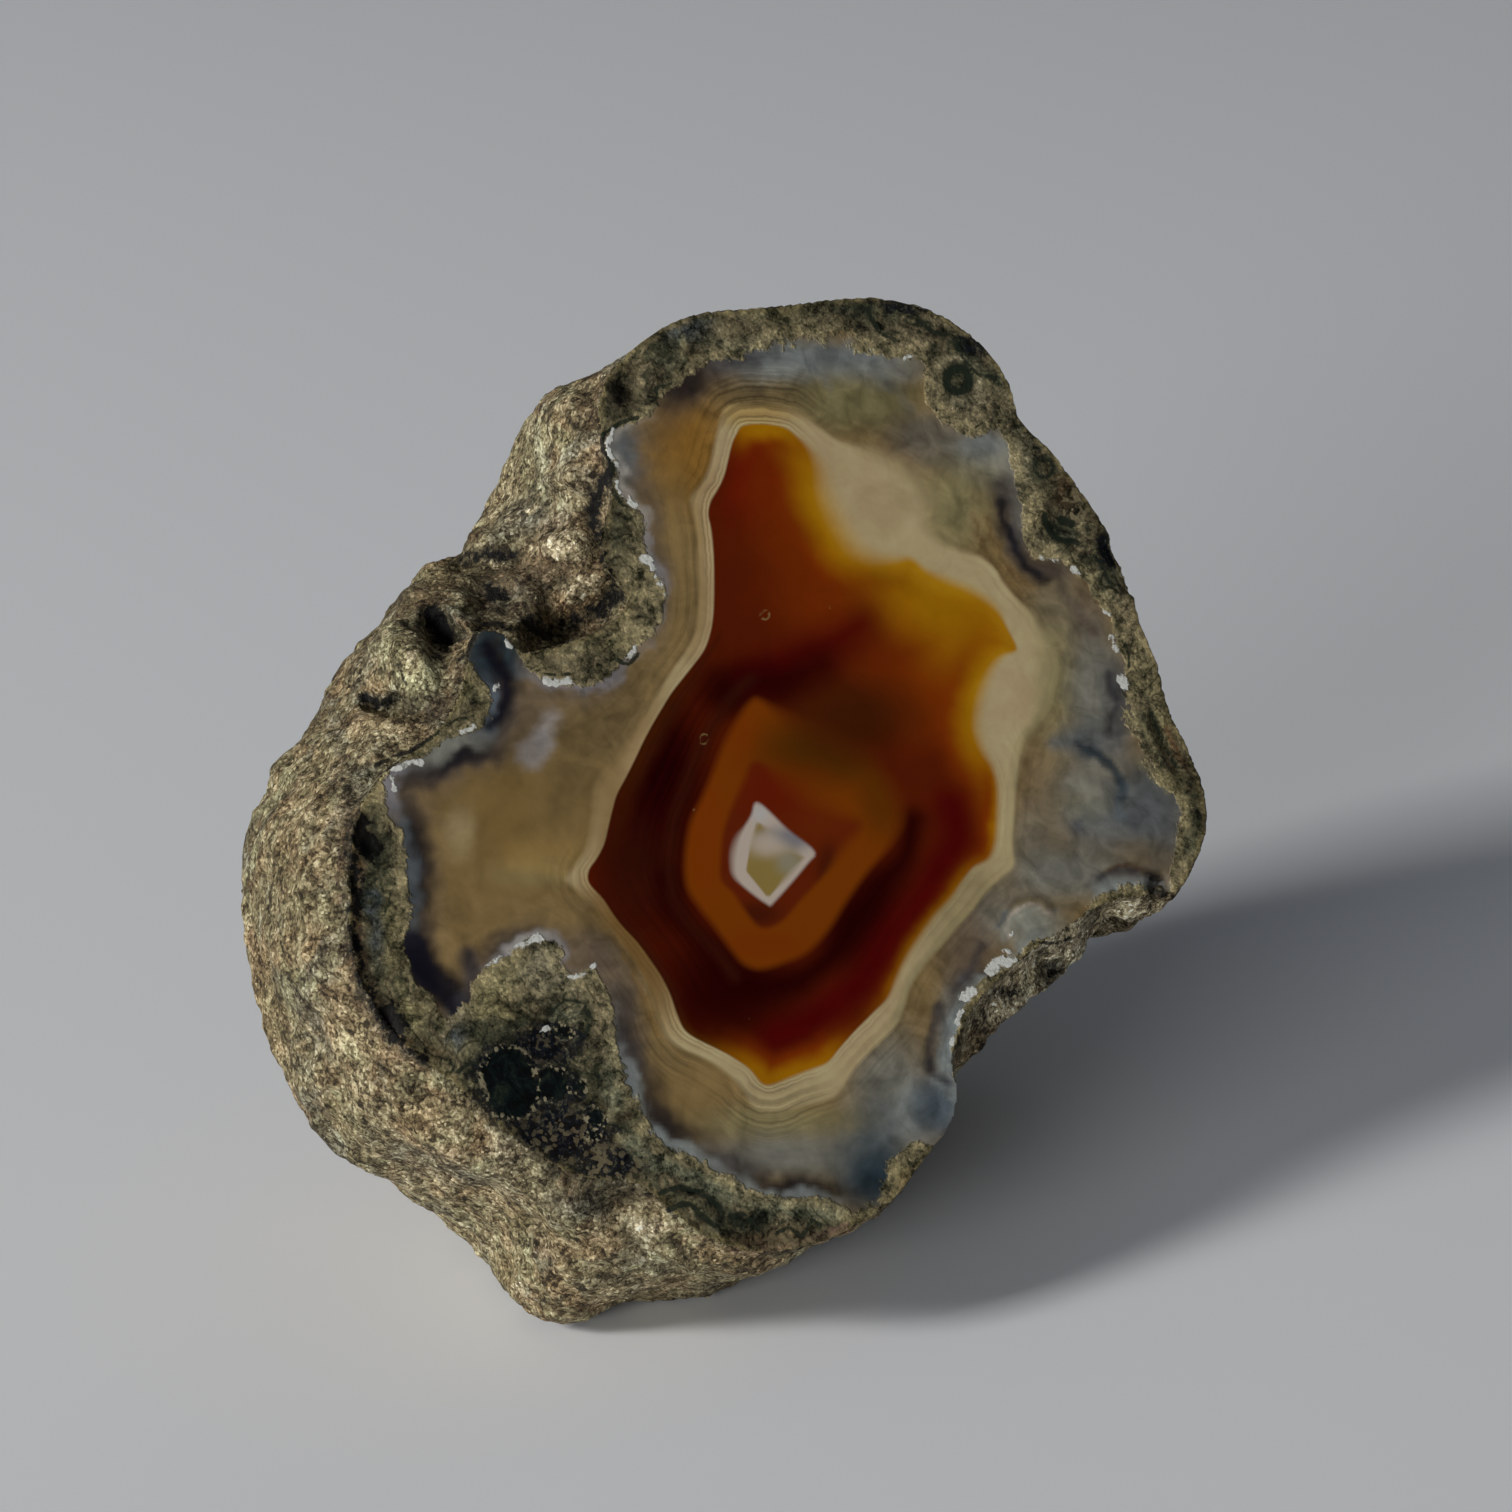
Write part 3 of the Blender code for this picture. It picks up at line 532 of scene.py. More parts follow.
CORE_PATCHES = (
    ("rust", (3.2, 33.5), (5.0, 6.0), 1.0),
    ("brick", (7.0, 27.5), (4.0, 7.0), 0.8),
    ("chestnut", (1.6, 22.5), (4.5, 7.0), 0.7),
    ("brick", (10.5, 20.4), (5.0, 4.0), 0.8),
    ("orange", (21.5, 11.5), (5.0, 6.0), 0.9),
    ("brick", (16.5, 13.0), (4.0, 3.5), 0.7),
    ("cocoa", (12.6, 9.4), (7.4, 4.0), 0.95),
    ("oxblood", (4.4, 12.8), (4.0, 2.2), 0.6),
    ("chestnut", (21.0, 2.5), (4.5, 4.5), 0.9),
    ("orange", (24.0, 7.0), (1.8, 6.0), 0.6),
    ("oxblood", (-6.5, 4.0), (5.0, 9.0), 1.0),
    ("oxblood", (-8.0, -6.0), (5.5, 8.0), 0.8),
    ("oxblood", (0.0, -18.0), (8.0, 6.0), 0.95),
    ("oxblood", (0.5, 12.2), (4.0, 3.0), 0.8),
    ("burnt", (-9.0, -6.4), (3.0, 5.0), 0.6),
    ("oxblood", (14.0, -11.0), (5.0, 6.0), 0.9),
)
CORE_FRINGES = (
    ("cocoa", 1.6, 1.0, 0.9, (-6.5, 5.0), (6.0, 12.0)),
    ("chestnut", 0.9, 0.7, 0.8, (-0.5, 27.0), (3.0, 11.0)),
    ("burnt", 0.7, 0.5, 0.8, (-7.0, -15.0), (6.0, 9.0)),
    ("bronze", 0.4, 0.4, 0.8, (-2.0, -23.2), (4.5, 3.0)),
    ("brick", 6.4, 2.4, 0.9, (9.6, 29.5), (5.0, 9.0)),
    ("orange", 4.2, 1.8, 0.95, (9.6, 29.5), (5.0, 9.0)),
    ("ochre", 3.0, 1.6, 1.0, (9.8, 29.5), (5.0, 9.5)),
    ("gold", 1.0, 1.8, 1.0, (11.2, 28.0), (5.0, 8.0)),
    ("orange", 2.1, 0.9, 0.9, (4.4, 38.0), (4.0, 2.6)),
    ("ochre", 1.4, 0.8, 1.0, (4.6, 38.2), (4.0, 2.4)),
    ("orange", 8.0, 3.0, 0.9, (22.5, 19.5), (8.0, 7.0)),
    ("ochre", 6.8, 3.4, 1.0, (22.6, 20.6), (7.5, 6.0)),
    ("gold", 1.2, 1.8, 0.9, (19.6, 24.6), (7.0, 3.4)),
    ("gold", 0.9, 1.2, 1.0, (24.0, 21.0), (7.0, 6.0)),
    ("orange", 3.8, 1.8, 0.9, (26.0, 8.5), (4.5, 9.0)),
    ("ochre", 2.2, 1.2, 1.0, (26.0, 10.5), (4.0, 8.0)),
    ("gold", 0.7, 0.9, 1.0, (26.4, 13.0), (4.0, 6.0)),
    ("orange", 1.7, 0.9, 0.95, (27.4, -0.5), (2.5, 5.5)),
    ("ochre", 0.6, 0.6, 0.95, (27.4, -0.5), (2.5, 5.5)),
    ("brick", 2.6, 1.2, 0.9, (20.5, -12.5), (7.0, 9.0)),
    ("orange", 1.7, 0.9, 0.95, (20.5, -12.5), (7.0, 9.0)),
    ("ochre", 0.8, 0.7, 1.0, (20.5, -12.5), (7.0, 9.0)),
    ("orange", 2.9, 0.8, 0.95, (8.0, -25.4), (7.5, 4.0)),
    ("ochre", 1.2, 0.9, 0.9, (7.0, -26.0), (7.5, 3.6)),
)
CORE_STROKES = (
    ("crimson", 3.2, 4.6, 0.9, ((13.6, 18.6), (11.4, 17.3), (9.0, 16.2), (6.0, 14.8), (3.0, 13.4))),
    ("oxblood", 3.0, 4.4, 0.8, ((9.6, 14.4), (6.6, 13.2), (3.2, 12.6), (0.0, 11.6))),
    ("crimson", 3.4, 3.4, 0.95, (
        (22.6, 0.4), (23.0, -3.0), (20.6, -7.4), (17.0, -12.6), (13.8, -17.2), (9.6, -20.4),
        (5.2, -22.6),
    )),
    ("oxblood", 2.4, 2.6, 0.9, (
        (18.8, -1.0), (18.0, -4.6), (15.0, -8.6), (12.2, -12.6), (8.6, -16.4), (4.0, -17.8),
        (0.6, -16.6), (-2.0, -13.4), (-4.6, -10.2), (-6.0, -6.8),
    )),
    ("burnt", 1.0, 1.6, 0.8, (
        (2.6, 13.0), (0.0, 10.6), (-1.8, 7.4), (-3.6, 3.6), (-4.9, -0.4), (-5.6, -4.6),
        (-5.2, -8.4), (-3.4, -11.4), (-1.0, -14.2), (1.0, -16.6),
    )),
    ("burnt", 0.5, 0.8, 0.6, ((-0.6, 17.4), (-3.0, 13.6), (-5.4, 9.6), (-7.2, 6.0), (-8.8, 2.4))),
)
AMBER_PATCHES = (
    ("brick", (4.0, -13.6), (5.0, 1.8), 0.4),
    ("orange", (-2.0, -2.0), (2.0, 7.0), 0.5),
    ("bronze", (10.4, 6.0), (7.4, 3.6), 1.0),
    ("bronze", (15.8, 1.0), (2.6, 4.0), 0.6),
    ("orange", (1.6, 7.6), (2.0, 3.0), 0.4),
    ("brick", (7.0, 3.2), (4.0, 2.0), 0.3),
)
HEART_PATCHES = (
    ("rust", (5.0, 2.0), (4.0, 3.0), 0.6),
    ("brick", (9.6, -1.4), (3.4, 2.2), 0.3),
    ("burnt", (3.4, -10.4), (2.4, 1.2), 0.7),
    ("burnt", (10.2, -5.6), (1.0, 2.6), 0.6),
)
DIAMOND_PATCHES = (
    ("lilac", (6.6, -2.8), (2.6, 1.4), 1.0),
    ("frost", (3.6, -0.4), (1.0, 0.8), 0.6),
)
WINDOW_PATCHES = (
    ("lilac", (5.6, -2.7), (2.6, 1.0), 0.6),
    ("bone", (4.6, -3.4), (2.6, 1.3), 0.85),
    ("ash", (6.4, -5.4), (1.4, 1.2), 0.6),
)
MATRIX_PATCHES = (
    ("moss", (-8.0, 46.4), (3.0, 2.4), 0.4),
    # Darker round the vug pressed at (-10, 42.6): painted shade in the hole
    ("soil", (-10.0, 41.6), (2.4, 2.6), 0.8),
    ("slate", (-4.0, 48.4), (2.4, 1.4), 0.7),
    ("hay", (2.0, 47.6), (3.6, 1.8), 0.8),
    ("celadon", (3.0, 46.4), (4.4, 0.8), 0.7),
    ("khaki", (6.4, 49.4), (2.6, 1.4), 0.6),
    ("hay", (10.0, 48.8), (4.0, 1.2), 0.7),
    ("pine", (13.4, 50.6), (1.6, 0.8), 0.8),
    ("pine", (17.4, 50.2), (3.0, 1.0), 0.75),
    ("hay", (15.6, 47.8), (1.8, 1.0), 0.6),
    ("hay", (18.6, 46.8), (2.4, 1.5), 0.9),
    ("hay", (24.2, 40.4), (4.4, 2.6), 0.9),
    ("sand", (24.6, 40.8), (2.0, 0.8), 0.6),
    ("hay", (21.0, 43.6), (1.4, 3.0), 0.8),
    ("pine", (25.0, 46.4), (3.0, 1.6), 0.8),
    ("moss", (27.2, 44.4), (1.0, 1.4), 0.7),
    ("sand", (30.0, 35.0), (1.0, 4.0), 0.7),
    ("tan", (31.0, 29.0), (1.7, 3.4), 1.0),
    ("sand", (30.8, 27.0), (1.4, 1.0), 0.6),
    ("fawn", (32.4, 24.9), (3.0, 0.7), 0.9),
    ("moss", (31.8, 34.2), (1.1, 2.0), 0.7),
    ("cinder", (34.2, 31.8), (1.8, 2.2), 0.7),
    ("pine", (33.6, 28.2), (1.5, 1.0), 0.95),
    ("peat", (36.6, 27.6), (1.8, 2.0), 0.9),
    ("deep green", (38.6, 25.8), (1.2, 2.4), 0.85),
    ("hay", (40.4, 19.2), (1.4, 3.2), 0.9),
    ("tan", (41.6, 14.4), (1.8, 3.6), 1.0),
    ("tan", (42.8, 11.4), (1.4, 2.4), 0.8),
    ("hay", (42.0, 4.6), (1.2, 1.8), 0.8),
    ("khaki", (43.6, 8.0), (1.2, 2.4), 0.6),
    ("bark", (44.8, 6.6), (1.2, 4.0), 0.7),
    ("khaki", (44.0, 2.4), (1.8, 1.2), 0.8),
    ("dark olive", (46.2, -3.6), (1.4, 5.0), 0.9),
    ("moss", (47.0, -2.2), (0.8, 3.6), 0.7),
    ("peat", (47.8, 0.0), (0.6, 1.6), 0.8),
    ("hay", (45.6, -6.4), (1.2, 1.0), 0.5),
    ("dun", (40.0, -9.2), (2.6, 0.9), 0.8),
    ("hay", (36.0, -11.4), (3.0, 1.6), 0.9),
    ("hay", (31.0, -15.0), (3.0, 1.4), 0.8),
    ("moss", (-9.7, 28.0), (1.4, 2.8), 0.7),
    ("tan", (-9.2, 22.6), (2.4, 3.4), 0.8),
    ("tan", (-9.0, 19.2), (3.2, 3.0), 1.0),
    ("khaki", (-12.0, 16.4), (3.0, 1.2), 0.7),
    ("hay", (-15.6, 14.9), (6.0, 1.8), 0.9),
    ("hay", (-27.0, 10.0), (2.0, 1.8), 0.7),
    ("khaki", (-25.4, 12.8), (1.2, 2.0), 0.6),
    ("dun", (-32.6, 6.6), (2.0, 1.4), 0.8),
    ("khaki", (-22.6, -17.6), (3.6, 3.0), 0.9),
    ("sand", (-17.4, -16.2), (3.6, 2.8), 0.95),
    ("sand", (-22.4, -17.0), (1.6, 1.2), 0.2),
    ("hay", (-12.8, -20.4), (1.6, 4.8), 0.95),
    ("celadon", (-15.6, -20.6), (2.0, 1.4), 0.6),
    ("hay", (-20.0, -19.0), (3.0, 1.4), 0.6),
    ("slate", (-27.0, -21.6), (1.2, 2.4), 0.7),
    ("moss", (-24.4, -22.4), (1.8, 1.6), 0.7),
    ("celadon", (-11.2, -26.8), (1.0, 4.4), 0.8),
    ("moss", (-13.6, -25.4), (1.4, 2.4), 0.6),
    ("moss", (-14.4, -27.6), (1.9, 1.8), 0.7),
    ("black", (-17.8, -23.0), (3.4, 1.7), 0.85),
    ("black", (-21.2, -27.2), (3.9, 4.2), 0.9),
    ("peat", (-17.4, -27.6), (2.6, 2.4), 0.9),
    ("peat", (-17.0, -31.8), (4.8, 3.6), 0.9),
    ("cinder", (-14.6, -33.2), (4.0, 2.0), 0.6),
    ("soil", (-10.0, -35.8), (2.2, 1.8), 0.7),
    ("bark", (-29.4, -24.4), (2.2, 1.2), 0.8),
    ("khaki", (-31.0, -20.8), (1.2, 2.2), 0.6),
    ("pine", (-4.0, -39.0), (3.2, 1.5), 0.8),
    ("pine", (1.6, -41.2), (2.6, 1.3), 0.85),
    ("cinder", (2.4, -43.2), (3.0, 0.9), 0.7),
    ("cinder", (7.0, -42.3), (3.4, 1.3), 0.7),
    ("moss", (10.6, -41.2), (2.6, 1.2), 0.8),
    ("soil", (12.4, -41.8), (1.8, 1.0), 0.7),
    ("khaki", (17.6, -36.0), (1.2, 1.6), 0.9),
    ("moss", (16.0, -37.0), (0.6, 1.6), 0.9),
    ("russet", (18.2, -37.6), (1.0, 1.4), 0.8),
    ("peat", (19.0, -34.4), (1.2, 0.6), 0.9),
    ("moss", (-34.6, -6.0), (1.6, 6.0), 0.9),
    ("pine", (-34.8, -9.6), (1.3, 2.2), 0.6),
    ("black", (21.0, 50.2), (3.6, 0.8), 0.7),
    ("moss", (23.3, 43.0), (1.1, 1.1), 0.9),
    ("khaki", (-33.0, -12.6), (1.2, 5.2), 0.8),
    ("hay", (-32.4, -9.4), (0.8, 3.4), 0.7),
    ("slate", (-34.8, -12.6), (0.7, 2.6), 0.6),
    ("khaki", (-32.4, -19.0), (1.0, 2.4), 0.7),
    ("dun", (-34.8, 1.2), (1.4, 2.0), 0.8),
    ("russet", (-36.8, -5.8), (0.8, 1.2), 0.8),
)
MATRIX_STROKES = (
    ("cinder", 1.2, 1.0, 0.9, (
        (-36.4, -0.8), (-36.9, -4.0), (-37.0, -8.0), (-36.8, -12.0), (-36.2, -15.6),
        (-35.0, -19.0), (-33.4, -21.6), (-31.8, -23.4),
    )),
    ("celadon", 1.6, 1.2, 0.85, (
        (-9.6, -33.2), (-7.4, -35.0), (-4.0, -36.2), (-1.0, -37.8), (3.0, -39.2), (7.0, -39.9),
        (11.0, -40.2),
    )),
    ("grape", 0.8, 0.7, 0.9, (
        (0.5, -44.3), (3.0, -44.2), (6.0, -43.8), (9.0, -43.0), (12.2, -41.8),
    )),
    ("celadon", 0.35, 0.4, 0.8, ((32.8, 28.6), (33.4, 27.7), (34.9, 27.2))),
    ("khaki", 0.5, 0.5, 0.95, ((41.9, 5.0), (43.0, 3.2), (44.4, 1.6), (46.4, 0.5))),
    ("khaki", 0.3, 0.3, 0.8, ((46.8, -0.8), (45.8, -2.6), (45.4, -4.6))),
    ("celadon", 0.3, 0.3, 0.8, ((38.0, 24.7), (39.0, 24.0), (39.8, 22.8))),
    ("sand", 0.6, 0.6, 0.9, circle((23.3, 43.0), 2.3)),
    ("pine", 1.0, 0.6, 1.0, circle((23.3, 43.0), 1.2)),
    ("black", 0.9, 0.8, 0.9, (
        (14.6, 51.0), (17.8, 50.9), (20.8, 50.1), (23.6, 48.6), (26.0, 46.6), (27.8, 44.0),
    )),
    ("black", 0.7, 0.7, 0.8, ((36.8, 29.2), (38.6, 27.0), (40.2, 24.2), (41.0, 21.8))),
    ("black", 0.7, 0.7, 0.8, ((46.8, 3.2), (47.8, 0.6), (48.0, -2.0))),
    ("pine", 0.6, 0.6, 0.9, ((21.0, 46.6), (20.6, 45.0), (21.2, 43.4), (21.2, 41.8), (22.4, 40.8))),
    ("pine", 0.6, 0.6, 0.9, (
        (18.8, 49.2), (20.4, 47.9), (22.8, 46.9), (24.4, 45.2), (25.8, 43.7), (27.4, 43.2),
    )),
    ("hay", 0.5, 0.5, 0.7, (
        (19.4, 50.0), (21.4, 48.8), (23.8, 47.6), (25.6, 45.8), (27.0, 44.6),
    )),
    ("pine", 0.5, 0.6, 0.9, ((14.0, 50.4), (14.8, 48.9), (16.0, 47.9), (17.6, 47.6))),
    ("pine", 0.5, 0.5, 0.8, ((10.6, 50.6), (11.8, 49.6), (13.2, 49.4))),
    ("moss", 0.5, 0.5, 0.7, ((4.0, 50.4), (4.6, 49.2), (6.4, 48.6), (8.2, 49.6))),
    ("pine", 0.45, 0.5, 0.9, circle((31.9, 34.3), 1.0)),
    ("hay", 0.5, 0.6, 0.8, ((30.6, 32.6), (31.4, 30.8), (32.8, 30.0))),
    ("black", 0.6, 0.6, 0.9, ((31.9, 29.4), (32.4, 27.9), (33.6, 27.0), (35.2, 26.8))),
    ("dun", 0.35, 0.4, 0.8, ((36.6, 26.4), (37.8, 24.8), (38.8, 23.4))),
    ("pine", 0.5, 0.5, 0.8, ((41.2, 12.6), (42.4, 10.6), (43.4, 8.6), (44.4, 6.4))),
    ("cinder", 0.6, 0.5, 0.8, ((44.2, 8.4), (45.0, 6.2), (46.2, 4.0))),
    ("dun", 0.6, 0.5, 0.9, circle((-17.3, -27.4), 1.95)),
    ("pine", 0.4, 0.5, 0.7, ((-21.0, -19.6), (-19.6, -18.9), (-18.0, -19.0), (-16.6, -18.7))),
    ("moss", 0.8, 0.8, 0.8, ((-14.0, -18.8), (-13.6, -20.8), (-14.2, -23.0))),
    ("pine", 0.5, 0.5, 0.9, ((-12.9, -25.6), (-12.5, -27.4), (-13.1, -29.0))),
    ("khaki", 0.7, 0.7, 0.7, ((-24.4, -20.4), (-22.8, -20.0), (-21.4, -20.8))),
    ("black", 0.5, 0.5, 0.95, (
        (-7.0, -38.2), (-5.0, -37.7), (-3.0, -38.1), (-1.3, -39.3), (-0.3, -40.8),
    )),
    ("dun", 0.4, 0.4, 0.8, ((-5.8, -39.2), (-4.0, -38.8), (-2.4, -39.7), (-1.4, -40.8))),
    ("black", 0.5, 0.5, 0.8, ((0.6, -40.6), (2.2, -40.9), (3.4, -42.0))),
    ("khaki", 0.3, 0.4, 0.8, ((11.6, -41.2), (13.4, -40.8), (15.2, -39.9))),
    ("pine", 0.5, 0.5, 0.7, ((-10.4, 20.8), (-8.8, 20.2), (-7.6, 21.2))),
    ("dun", 0.4, 0.5, 0.7, ((-18.6, 16.0), (-15.6, 15.8), (-12.6, 16.8))),
    ("moss", 0.4, 0.5, 0.7, ((-19.0, 15.0), (-16.0, 14.7), (-13.0, 15.4), (-11.0, 17.0))),
    ("slate", 0.6, 0.6, 0.8, circle((-35.5, -9.1), 0.9)),
    ("pine", 0.4, 0.5, 0.8, ((-34.0, -2.6), (-34.6, -5.0), (-34.2, -7.4), (-34.8, -9.8))),
)
# Dark round spots with a dotted pale outline: half width and points, in squares
BLOBS = (
    (2.6, ((-21.8, -26.4), (-21.2, -28.2))),
    (1.6, ((-17.4, -27.4), (-17.2, -27.4))),
    (0.9, ((-12.9, -30.6), (-12.8, -30.8))),
    (0.55, ((-13.3, -32.5), (-13.2, -32.5))),
    (0.6, ((-14.6, -27.6), (-14.4, -27.6))),
    (0.6, ((-16.5, -22.0), (-15.9, -22.1))),
)
# Where pale crystals are strewn: middle, half widths and strength
CRYSTALS = (
    ((-16.6, -33.4), (5.2, 3.4), 0.60),
    ((-12.0, -36.0), (5.4, 2.6), 0.70),
    ((-18.8, -23.6), (3.0, 1.8), 0.35),
    ((34.6, 30.4), (1.4, 2.2), 1.0),
    ((36.6, 28.8), (1.4, 1.2), 0.4),
    ((45.6, -6.4), (1.4, 1.4), 0.5),
    ((-18.6, 23.0), (6.0, 4.0), 0.6),
    ((-13.0, 26.0), (2.0, 6.0), 0.5),
    ((-15.0, 19.0), (4.0, 1.6), 0.5),
    ((7.0, -42.6), (4.0, 1.6), 0.6),
    ((-8.0, -44.0), (5.0, 3.0), 0.4),
)
# Ragged dark crack lines and holes: half width and points, in squares. The long line on the left is
# the crack's own dark; the black in the holes, the bite's crevices and fold and the ledge's grooves
# is painted shade
DARK_CRACKS_AND_SHADE = (
    # Along the left rim: the long line is the crack itself; the wide spots are holes, whose black
    # is painted shade
    (0.9, ((-36.3, -1.4), (-36.7, -2.4))),
    (0.55, (
        (-36.7, -1.4), (-37.0, -5.0), (-37.0, -9.0), (-36.8, -13.0), (-36.0, -17.0),
        (-34.4, -20.6), (-32.6, -23.0),
    )),
    (1.2, ((-35.8, -3.0), (-35.5, -4.0))),
    (0.5, ((-37.0, -6.6), (-36.9, -7.4))),
    (0.4, ((-36.8, -10.2), (-36.6, -10.8))),
    (0.4, ((-37.0, -12.4), (-36.7, -12.9))),
    (0.45, ((-36.6, -15.6), (-36.0, -17.4))),
    (0.40, ((-35.0, -19.2), (-34.6, -19.8))),
    (1.25, ((-33.9, -20.4), (-33.0, -22.0))),
    (0.45, ((-31.6, -24.0), (-29.8, -25.2))),
    # The bite and the groove beside it: painted shade in its crevices, in the fold under its lump
    # and in its hole
    (0.60, ((-11.6, 34.0), (-12.6, 31.6), (-13.2, 29.0), (-12.6, 27.4))),
    (0.40, ((-12.2, 25.4), (-11.6, 23.4))),
    (0.75, ((-10.9, 21.8), (-11.6, 20.7), (-13.0, 19.9))),
    (0.50, ((-14.6, 19.0), (-16.2, 18.5), (-17.8, 17.5))),
    (0.60, ((-19.6, 19.0), (-19.0, 17.8))),
    (0.70, ((-23.4, 21.8), (-22.4, 21.4))),
    (0.35, ((-26.2, 25.1), (-23.6, 25.5), (-21.2, 25.4))),
    (1.15, ((-29.1, 19.3), (-28.5, 18.4), (-27.9, 17.5))),
    (0.50, ((-36.0, 11.2), (-34.6, 10.7), (-33.4, 10.8))),
    # The ledge: painted shade in its grooves
    (0.50, ((32.2, -15.4), (33.0, -16.2))),
    (0.35, ((27.6, -18.2), (29.4, -18.4))),
)
# Dark vein lines and holes in the matrix and the rind: half width and points, in squares. On the
# rind all are laid black, which in the holes is painted shade
VEINS_AND_HOLE_SHADE = (
    (0.28, ((-6.6, -38.4), (-5.0, -37.8), (-3.0, -38.0), (-1.3, -39.0), (-0.2, -40.4))),
    (0.12, ((-9.6, -34.6), (-8.0, -36.4), (-7.4, -37.8), (-6.2, -38.6))),
    (0.30, ((-5.6, -40.0), (-3.8, -39.4), (-2.2, -40.6), (-1.0, -41.6))),
    (0.25, ((0.4, -40.6), (2.0, -40.6), (3.4, -42.0))),
    (0.22, ((5.0, -42.4), (6.4, -41.8), (7.8, -42.6), (8.6, -41.0), (9.6, -41.6))),
    (0.42, circle((23.3, 43.0), 1.15)),
    (0.20, ((14.2, 50.2), (14.9, 48.7), (15.9, 47.5), (17.4, 46.9))),
    (0.20, (
        (18.2, 49.4), (19.6, 48.8), (20.8, 47.8), (22.6, 47.4), (23.3, 46.3), (24.0, 44.9),
        (25.3, 43.6), (26.6, 43.3), (27.5, 42.5),
    )),
    (0.10, ((20.5, 42.2), (20.9, 40.4), (22.1, 38.9), (22.6, 38.7))),
    (0.10, ((23.8, 38.4), (25.0, 38.2), (26.0, 38.9), (27.2, 38.6))),
    (0.28, ((31.9, 29.6), (32.4, 28.0), (33.6, 27.0), (35.2, 26.8))),
    (0.45, ((33.6, 29.0), (34.6, 28.6))),
    (0.16, circle((31.9, 34.2), 0.9)),
    (0.35, ((38.5, 26.8), (39.3, 25.2), (40.2, 23.2), (40.7, 21.6))),
    (0.22, ((36.8, 25.4), (37.6, 24.6), (38.4, 22.8), (39.4, 22.4))),
    (0.12, ((39.4, 17.4), (40.2, 16.2), (40.4, 14.6), (40.2, 13.4))),
    (0.20, ((42.6, 9.8), (43.2, 8.2), (44.2, 6.0), (45.2, 4.2))),
    (0.10, ((-20.9, -19.9), (-20.2, -19.3), (-19.2, -19.0))),
    (0.10, ((-14.1, -19.6), (-13.8, -21.4), (-14.4, -23.0))),
    (0.10, ((-12.8, -26.0), (-12.6, -27.4), (-13.2, -28.6))),
    (0.16, circle((-15.4, -21.0), 2.0)),
    (0.20, ((-25.7, 15.4), (-25.3, 17.0), (-24.2, 18.5), (-22.6, 18.6), (-21.3, 17.9))),
    (0.10, ((-26.6, 15.0), (-25.6, 15.7))),
    (0.14, circle((-35.5, -9.1), 0.75)),
    (0.14, ((-33.4, -8.2), (-33.9, -10.0), (-34.6, -11.0), (-35.2, -12.4))),
    (0.14, ((-35.0, -4.6), (-34.6, -6.2), (-35.2, -7.4))),
    (0.20, ((-26.8, -26.2), (-25.6, -25.4), (-24.6, -25.2))),
    (0.14, ((-6.6, 41.2), (-6.9, 42.2), (-5.8, 42.5), (-5.0, 42.8))),
    (0.24, ((-11.6, 37.9), (-10.2, 38.8), (-8.6, 39.3))),
    (0.22, (
        (-12.2, 37.6), (-12.2, 36.0), (-11.2, 34.4), (-11.5, 33.0), (-10.8, 31.2), (-9.8, 30.2),
    )),
    (0.20, ((-10.9, 15.2), (-9.8, 14.6), (-8.6, 15.6))),
    (0.14, ((-19.4, 14.2), (-17.6, 13.6), (-15.4, 13.6))),
    (0.14, ((30.2, -13.8), (31.4, -13.2), (33.0, -13.4), (34.4, -12.8))),
    (0.12, ((-33.2, 15.6), (-32.6, 14.2), (-31.8, 12.4))),
    (0.22, ((-35.0, 4.4), (-33.0, 5.4), (-31.2, 6.0), (-29.4, 7.2))),
    # Holes in the rind: their black there is painted shade
    (0.75, ((-29.4, 19.6), (-28.6, 18.5), (-27.8, 17.3))),
    (0.42, ((-36.2, 11.3), (-34.8, 10.8), (-33.4, 10.9))),
    (0.16, ((-29.0, 7.4), (-27.4, 8.8), (-25.2, 9.4))),
)
